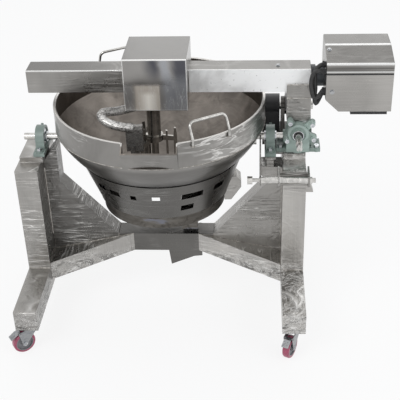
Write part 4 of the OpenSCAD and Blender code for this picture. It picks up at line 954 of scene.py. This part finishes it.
class MIXER_OT_pot(bpy.types.Operator):
    """Finishes the pot, its spout, its handles and the furnace"""

    bl_idname = "mixer.pot"
    bl_label = "Pot and furnace"

    def execute(self, context):
        finish = context.scene.mixer_finish
        clad(spun_steel("pot_sheet", finish.steel, finish.bowl), "pot_shell", "spout")
        clad(turned_steel("handle_rod", (0.5, 0.49, 0.47), 0.18, metal=0.85), "front_handle", "rear_handle")
        # A darker copy of the steel: painted shade on the shroud under the pot's dish
        shroud = sheet_steel("shroud_sheet", shade(finish.steel, 0.52), 2, film=0.12, stain=0.2)
        clad(shroud, "furnace_shroud")
        clad(heated_steel("heated_sheet"), "furnace_ring", "burner")
        return {"FINISHED"}


class MIXER_OT_castings(bpy.types.Operator):
    """Finishes the castings, the motor, the worm wheel and the cables"""

    bl_idname = "mixer.castings"
    bl_label = "Castings and motor"

    def execute(self, context):
        tone = context.scene.mixer_finish.casting
        paint = painted_casting("casting_paint", tone, 0.36)
        clad(paint, "left_bearing", "right_bearing", "gearbox_housing", "bevel_housing")
        clad(painted_casting("flange_paint", shade(tone, 1.3), 0.34), "gearbox_flange")
        clad(painted_casting("black_casting_paint", (0.03, 0.03, 0.032)), "hinge_bearing")
        clad(painted_casting("motor_paint", (0.05, 0.055, 0.06)), "motor")
        clad(plated_zinc("zinc_plate"), "bearing_inserts", "frame_bolts", "caster_plates")
        clad(bronze_metal("wheel_bronze"), "worm_wheel")
        clad(rubber("cable_sheath", (0.02, 0.02, 0.02)), "cables")
        return {"FINISHED"}


class MIXER_OT_casters(bpy.types.Operator):
    """Finishes the casters"""

    bl_idname = "mixer.casters"
    bl_label = "Casters"

    def execute(self, context):
        tread = caster_tread("tread_urethane", context.scene.mixer_finish.tread)
        hub = moulded_plastic("hub_nylon", (0.2, 0.2, 0.21))
        pressed = plated_zinc("caster_zinc", 0.5)
        for i in range(1, len(CASTER_TURNS) + 1):
            clad(pressed, f"caster_fork_{i}", f"brake_pedal_{i}")
            clad(tread, f"caster_wheel_{i}")
            clad(hub, f"caster_hub_{i}")
        return {"FINISHED"}


# Trim


class MIXER_OT_welds(bpy.types.Operator):
    """Lays the welds of the frame, the pot and the head"""

    bl_idname = "mixer.welds"
    bl_label = "Welds"

    # Half widths of the runs on a strut's end, a foot, a handle and the head's plates
    lap = 0.0024
    foot = 0.003
    handle = 0.0022
    plate = 0.0022

    # Height of a handle's feet, and from the middle of a foot to the middle of the weld round it
    handle_feet_h = 0.012
    handle_reach = 0.0072

    def execute(self, context):
        sizes = context.scene.mixer_sizes
        metal = weld_metal("weld_metal")
        frame_runs, pot_runs, head_runs = bmesh.new(), bmesh.new(), bmesh.new()
        for side, node in ((-1, "left_stand"), (1, "right_stand")):
            for face in (-1, 1):
                self.stand(frame_runs, side, face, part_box(node)[LOW].z + FOOT_H, sizes.weld)
        bead_round(pot_runs, Vector((POT_X, 0.0, RIM_Z - COLLAR_H)), POT_R, sizes.seam)
        for node in ("front_handle", "rear_handle"):
            self.handle_feet(pot_runs, NODES[node].data)
        low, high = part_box("saddle_plates")
        for z in (low.z, high.z):
            bead(head_runs, Vector((low.x, low.y, z)), Vector((high.x, low.y, z)), self.plate)
        built("frame_welds", "frame", metal, frame_runs)
        built("pot_welds", "pot", metal, pot_runs)
        built("head_welds", "head", metal, head_runs)
        return {"FINISHED"}

    def stand(self, work, side, face, foot_top, radius):
        """Seams of the web, the strut and the foot on one face of a stand."""
        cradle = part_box("cradle_beam")[HIGH]
        y = face * cradle.y
        inner = POT_X + side * STAND_INNER_X
        outer = inner + side * STAND_W
        upright = face * UPRIGHT_HALF
        end = Vector((POT_X + side * (cradle.x - POT_X), y, cradle.z))
        joint = Vector((inner, y, STRUT_TOP))
        for start, to, width in (
                (Vector((inner, y, cradle.z)), Vector((inner, y, WEB_TOP)), radius),
                (joint, Vector((inner, upright, STRUT_TOP)), radius),
                (end - Vector((side * STRUT_LAP, 0.0, 0.0)), joint, radius),
                (end, Vector((end.x, y, CRADLE_FRONT_LOW)), self.lap),
                (Vector((inner, upright, foot_top)), Vector((outer, upright, foot_top)), self.foot)):
            bead(work, start, to, width)

    def handle_feet(self, work, mesh):
        """Rings of weld round the two feet of a handle."""
        points = [v.co for v in mesh.vertices]
        low = min(p.z for p in points)
        feet = [p for p in points if p.z < low + self.handle_feet_h]
        along = Vector((-sum(p.y for p in feet), sum(p.x - POT_X for p in feet), 0.0)).normalized()
        split = sum(p.dot(along) for p in feet) / len(feet)
        for half in ([p for p in feet if p.dot(along) < split], [p for p in feet if p.dot(along) >= split]):
            bead_round(work, sum(half, Vector()) / len(half), self.handle_reach, self.handle)


class MIXER_OT_screws(bpy.types.Operator):
    """Adds the screws of the lid, the tray and the beam"""

    bl_idname = "mixer.screws"
    bl_label = "Screws"

    # On the lid: in from the tray's left end, and forward of the top fold
    lid_inset = 0.015
    past_fold = 0.038

    # On the tray's sides: in from its left end, and up from its foot
    side_inset = 0.025
    side_rise = 0.088

    # On the beam: from the pot's axis in X, and from the middle in Y
    beam_x = 0.501
    beam_y = -0.008

    def execute(self, context):
        sizes = context.scene.mixer_sizes
        lid_low, lid_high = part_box("motor_hood")
        low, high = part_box("motor_tray")
        work = bmesh.new()
        fall = LID_DROP / (LID_FOLD_Y - lid_low.y)
        past = self.past_fold
        foot = Vector((low.x + self.lid_inset, LID_FOLD_Y - past, lid_high.z - past * fall))
        screw(work, foot, Vector((0.0, -fall, 1.0)).normalized(), sizes.screw)
        for y, out in ((low.y, -1), (high.y, 1)):
            foot = Vector((low.x + self.side_inset, y, low.z + self.side_rise))
            screw(work, foot, Vector((0, out, 0)), sizes.side_screw)
        foot = Vector((POT_X + self.beam_x, self.beam_y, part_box("beam")[HIGH].z))
        screw(work, foot, Vector((0, 0, 1)), sizes.screw)
        built("head_screws", "head", plated_zinc("screw_zinc", 0.6), work)
        return {"FINISHED"}


class MIXER_OT_strips(bpy.types.Operator):
    """Adds the gasket under the lid, the black box under the tray and the glands of the cables"""

    bl_idname = "mixer.strips"
    bl_label = "Gasket and glands"

    # The gasket stands proud of the tray's sides, and starts just below their top and inside their ends
    proud = 0.0012
    short = 0.001
    gasket_h = 0.0055

    # The black box under the tray: in from the tray's left end, its right end and its front,
    # from the tray's front to the box's back, and its height
    box_left = 0.104
    box_right = 0.016
    box_front = 0.003
    box_back = 0.081
    box_h = 0.013

    # Where the cables enter the tray in Y and Z, and a gland's sleeve and nut: radius, start,
    # length and sides
    places = ((-0.072, 1.052), (-0.096, 1.072), (-0.072, 1.176), (-0.096, 1.152))
    gland = ((0.0125, 0.0, 0.007, 24), (0.015, 0.007, 0.006, 6))

    def execute(self, context):
        low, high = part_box("motor_tray")
        work = bmesh.new()
        seam = high.z - self.short
        for y, out in ((low.y, -1), (high.y, 1)):
            near, far = sorted((y, y + out * self.proud))
            slab(work, (low.x + self.short, near, seam), (high.x - self.short, far, seam + self.gasket_h))
        slab(
            work, (low.x + self.box_left, low.y + self.box_front, low.z - self.box_h),
            (high.x - self.box_right, low.y + self.box_back, low.z))
        for y, z in self.places:
            for radius, start, length, sides in self.gland:
                centre = Vector((low.x - start - length / 2, y, z))
                disc(work, centre, Vector((1, 0, 0)), radius, length, sides)
        built("head_strips", "head", rubber("dark_strip", (0.015, 0.015, 0.016)), work)
        return {"FINISHED"}


class MIXER_OT_axle_nuts(bpy.types.Operator):
    """Adds a nut on each end of the caster axles"""

    bl_idname = "mixer.axle_nuts"
    bl_label = "Axle nuts"

    # From the middle of the hub to the middle of a nut, and the nut's size
    reach = 0.0232
    radius = 0.0085
    thickness = 0.0045

    def execute(self, context):
        for i, (body, turn) in enumerate(CASTER_TURNS, start=1):
            way = flat(turn + 90)
            work = bmesh.new()
            for side in (-1, 1):
                centre = middle(f"caster_hub_{i}") + way * side * self.reach
                disc(work, centre, way, self.radius, self.thickness, 6)
            built(f"axle_nuts_{i}", body, known("zinc_plate"), work)
        return {"FINISHED"}


class MIXER_OT_pedal_ribs(bpy.types.Operator):
    """Adds the ribs pressed across each brake pedal"""

    bl_idname = "mixer.pedal_ribs"
    bl_label = "Pedal ribs"

    # Number of ribs, from the pedal's tip to the first, from one to the next, and a rib's size
    count = 4
    first = 0.005
    spacing = 0.006
    radius = 0.0014
    length = 0.024

    # Length of a pedal's tread, and how near to its edges a corner counts as on them
    tread_l = 0.03
    margin = 0.001

    def execute(self, context):
        for i, (body, turn) in enumerate(CASTER_TURNS, start=1):
            ahead = flat(turn)
            points = [v.co for v in NODES[f"brake_pedal_{i}"].data.vertices]
            far = max(p.dot(ahead) for p in points)
            tread = [p for p in points if p.dot(ahead) > far - self.tread_l]
            tip = [p for p in tread if p.dot(ahead) > far - self.margin]
            brow = [p for p in tread if p.z > max(q.z for q in tread) - self.margin]
            foot = sum(tip, Vector()) / len(tip)
            slope = (sum(brow, Vector()) / len(brow) - foot).normalized()
            work = bmesh.new()
            for k in range(self.count):
                centre = foot + slope * (self.first + self.spacing * k)
                disc(work, centre, flat(turn + 90), self.radius, self.length, 8)
            built(f"pedal_ribs_{i}", body.replace("fork", "pedal"), known("caster_zinc"), work)
        return {"FINISHED"}


class MIXER_OT_shaft_seal(bpy.types.Operator):
    """Adds the lip seal and its bright ring where the worm shaft leaves the gear case"""

    bl_idname = "mixer.shaft_seal"
    bl_label = "Shaft seal"

    # Name, finish, inner and outer radius, and how far it stands out
    rings = (("shaft_seal", "dark_strip", 0.0146, 0.0205, 0.0016),
             ("seal_ring", "zinc_plate", 0.0206, 0.0235, 0.0024))

    def execute(self, context):
        shaft = middle("worm_shaft")
        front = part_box("gearbox_flange")[LOW].y
        for name, material, inner, outer, depth in self.rings:
            work = bmesh.new()
            ring_of(work, Vector((shaft.x, front, shaft.z)), inner, outer, depth)
            built(name, "frame", known(material), work)
        return {"FINISHED"}


class MIXER_PT_panel(bpy.types.Panel):
    """Lists the steps that finish the mixer"""

    bl_idname = "MIXER_PT_panel"
    bl_label = "Cooking mixer"
    bl_space_type = "VIEW_3D"
    bl_region_type = "UI"
    bl_category = "Mixer"

    def draw(self, context):
        for step in STEPS:
            self.layout.operator(step.bl_idname)
        scene = context.scene
        for group in (scene.mixer_finish, scene.mixer_sizes, scene.mixer_view):
            for key in group.__annotations__:
                self.layout.prop(group, key)


STEPS = (
    MIXER_OT_stage, MIXER_OT_stand, MIXER_OT_head, MIXER_OT_shafts, MIXER_OT_pot, MIXER_OT_castings,
    MIXER_OT_casters, MIXER_OT_welds, MIXER_OT_screws, MIXER_OT_strips, MIXER_OT_axle_nuts,
    MIXER_OT_pedal_ribs, MIXER_OT_shaft_seal)
GROUPS = {"mixer_finish": MixerFinish, "mixer_sizes": MixerSizes, "mixer_view": MixerView}
CLASSES = (*GROUPS.values(), *STEPS, MIXER_PT_panel)


def register():
    """Adds the classes and the groups of settings."""
    for item in CLASSES:
        bpy.utils.register_class(item)
    for name, group in GROUPS.items():
        setattr(bpy.types.Scene, name, bpy.props.PointerProperty(type=group))


def unregister():
    """Takes them away again."""
    for name in GROUPS:
        delattr(bpy.types.Scene, name)
    for item in reversed(CLASSES):
        bpy.utils.unregister_class(item)


def main():
    """Runs every step in order."""
    register()
    bpy.context.scene.view_settings.view_transform = "Standard"
    for step in STEPS:
        group, name = step.bl_idname.split(".")
        getattr(getattr(bpy.ops, group), name)()


if __name__ == "__main__":
    main()
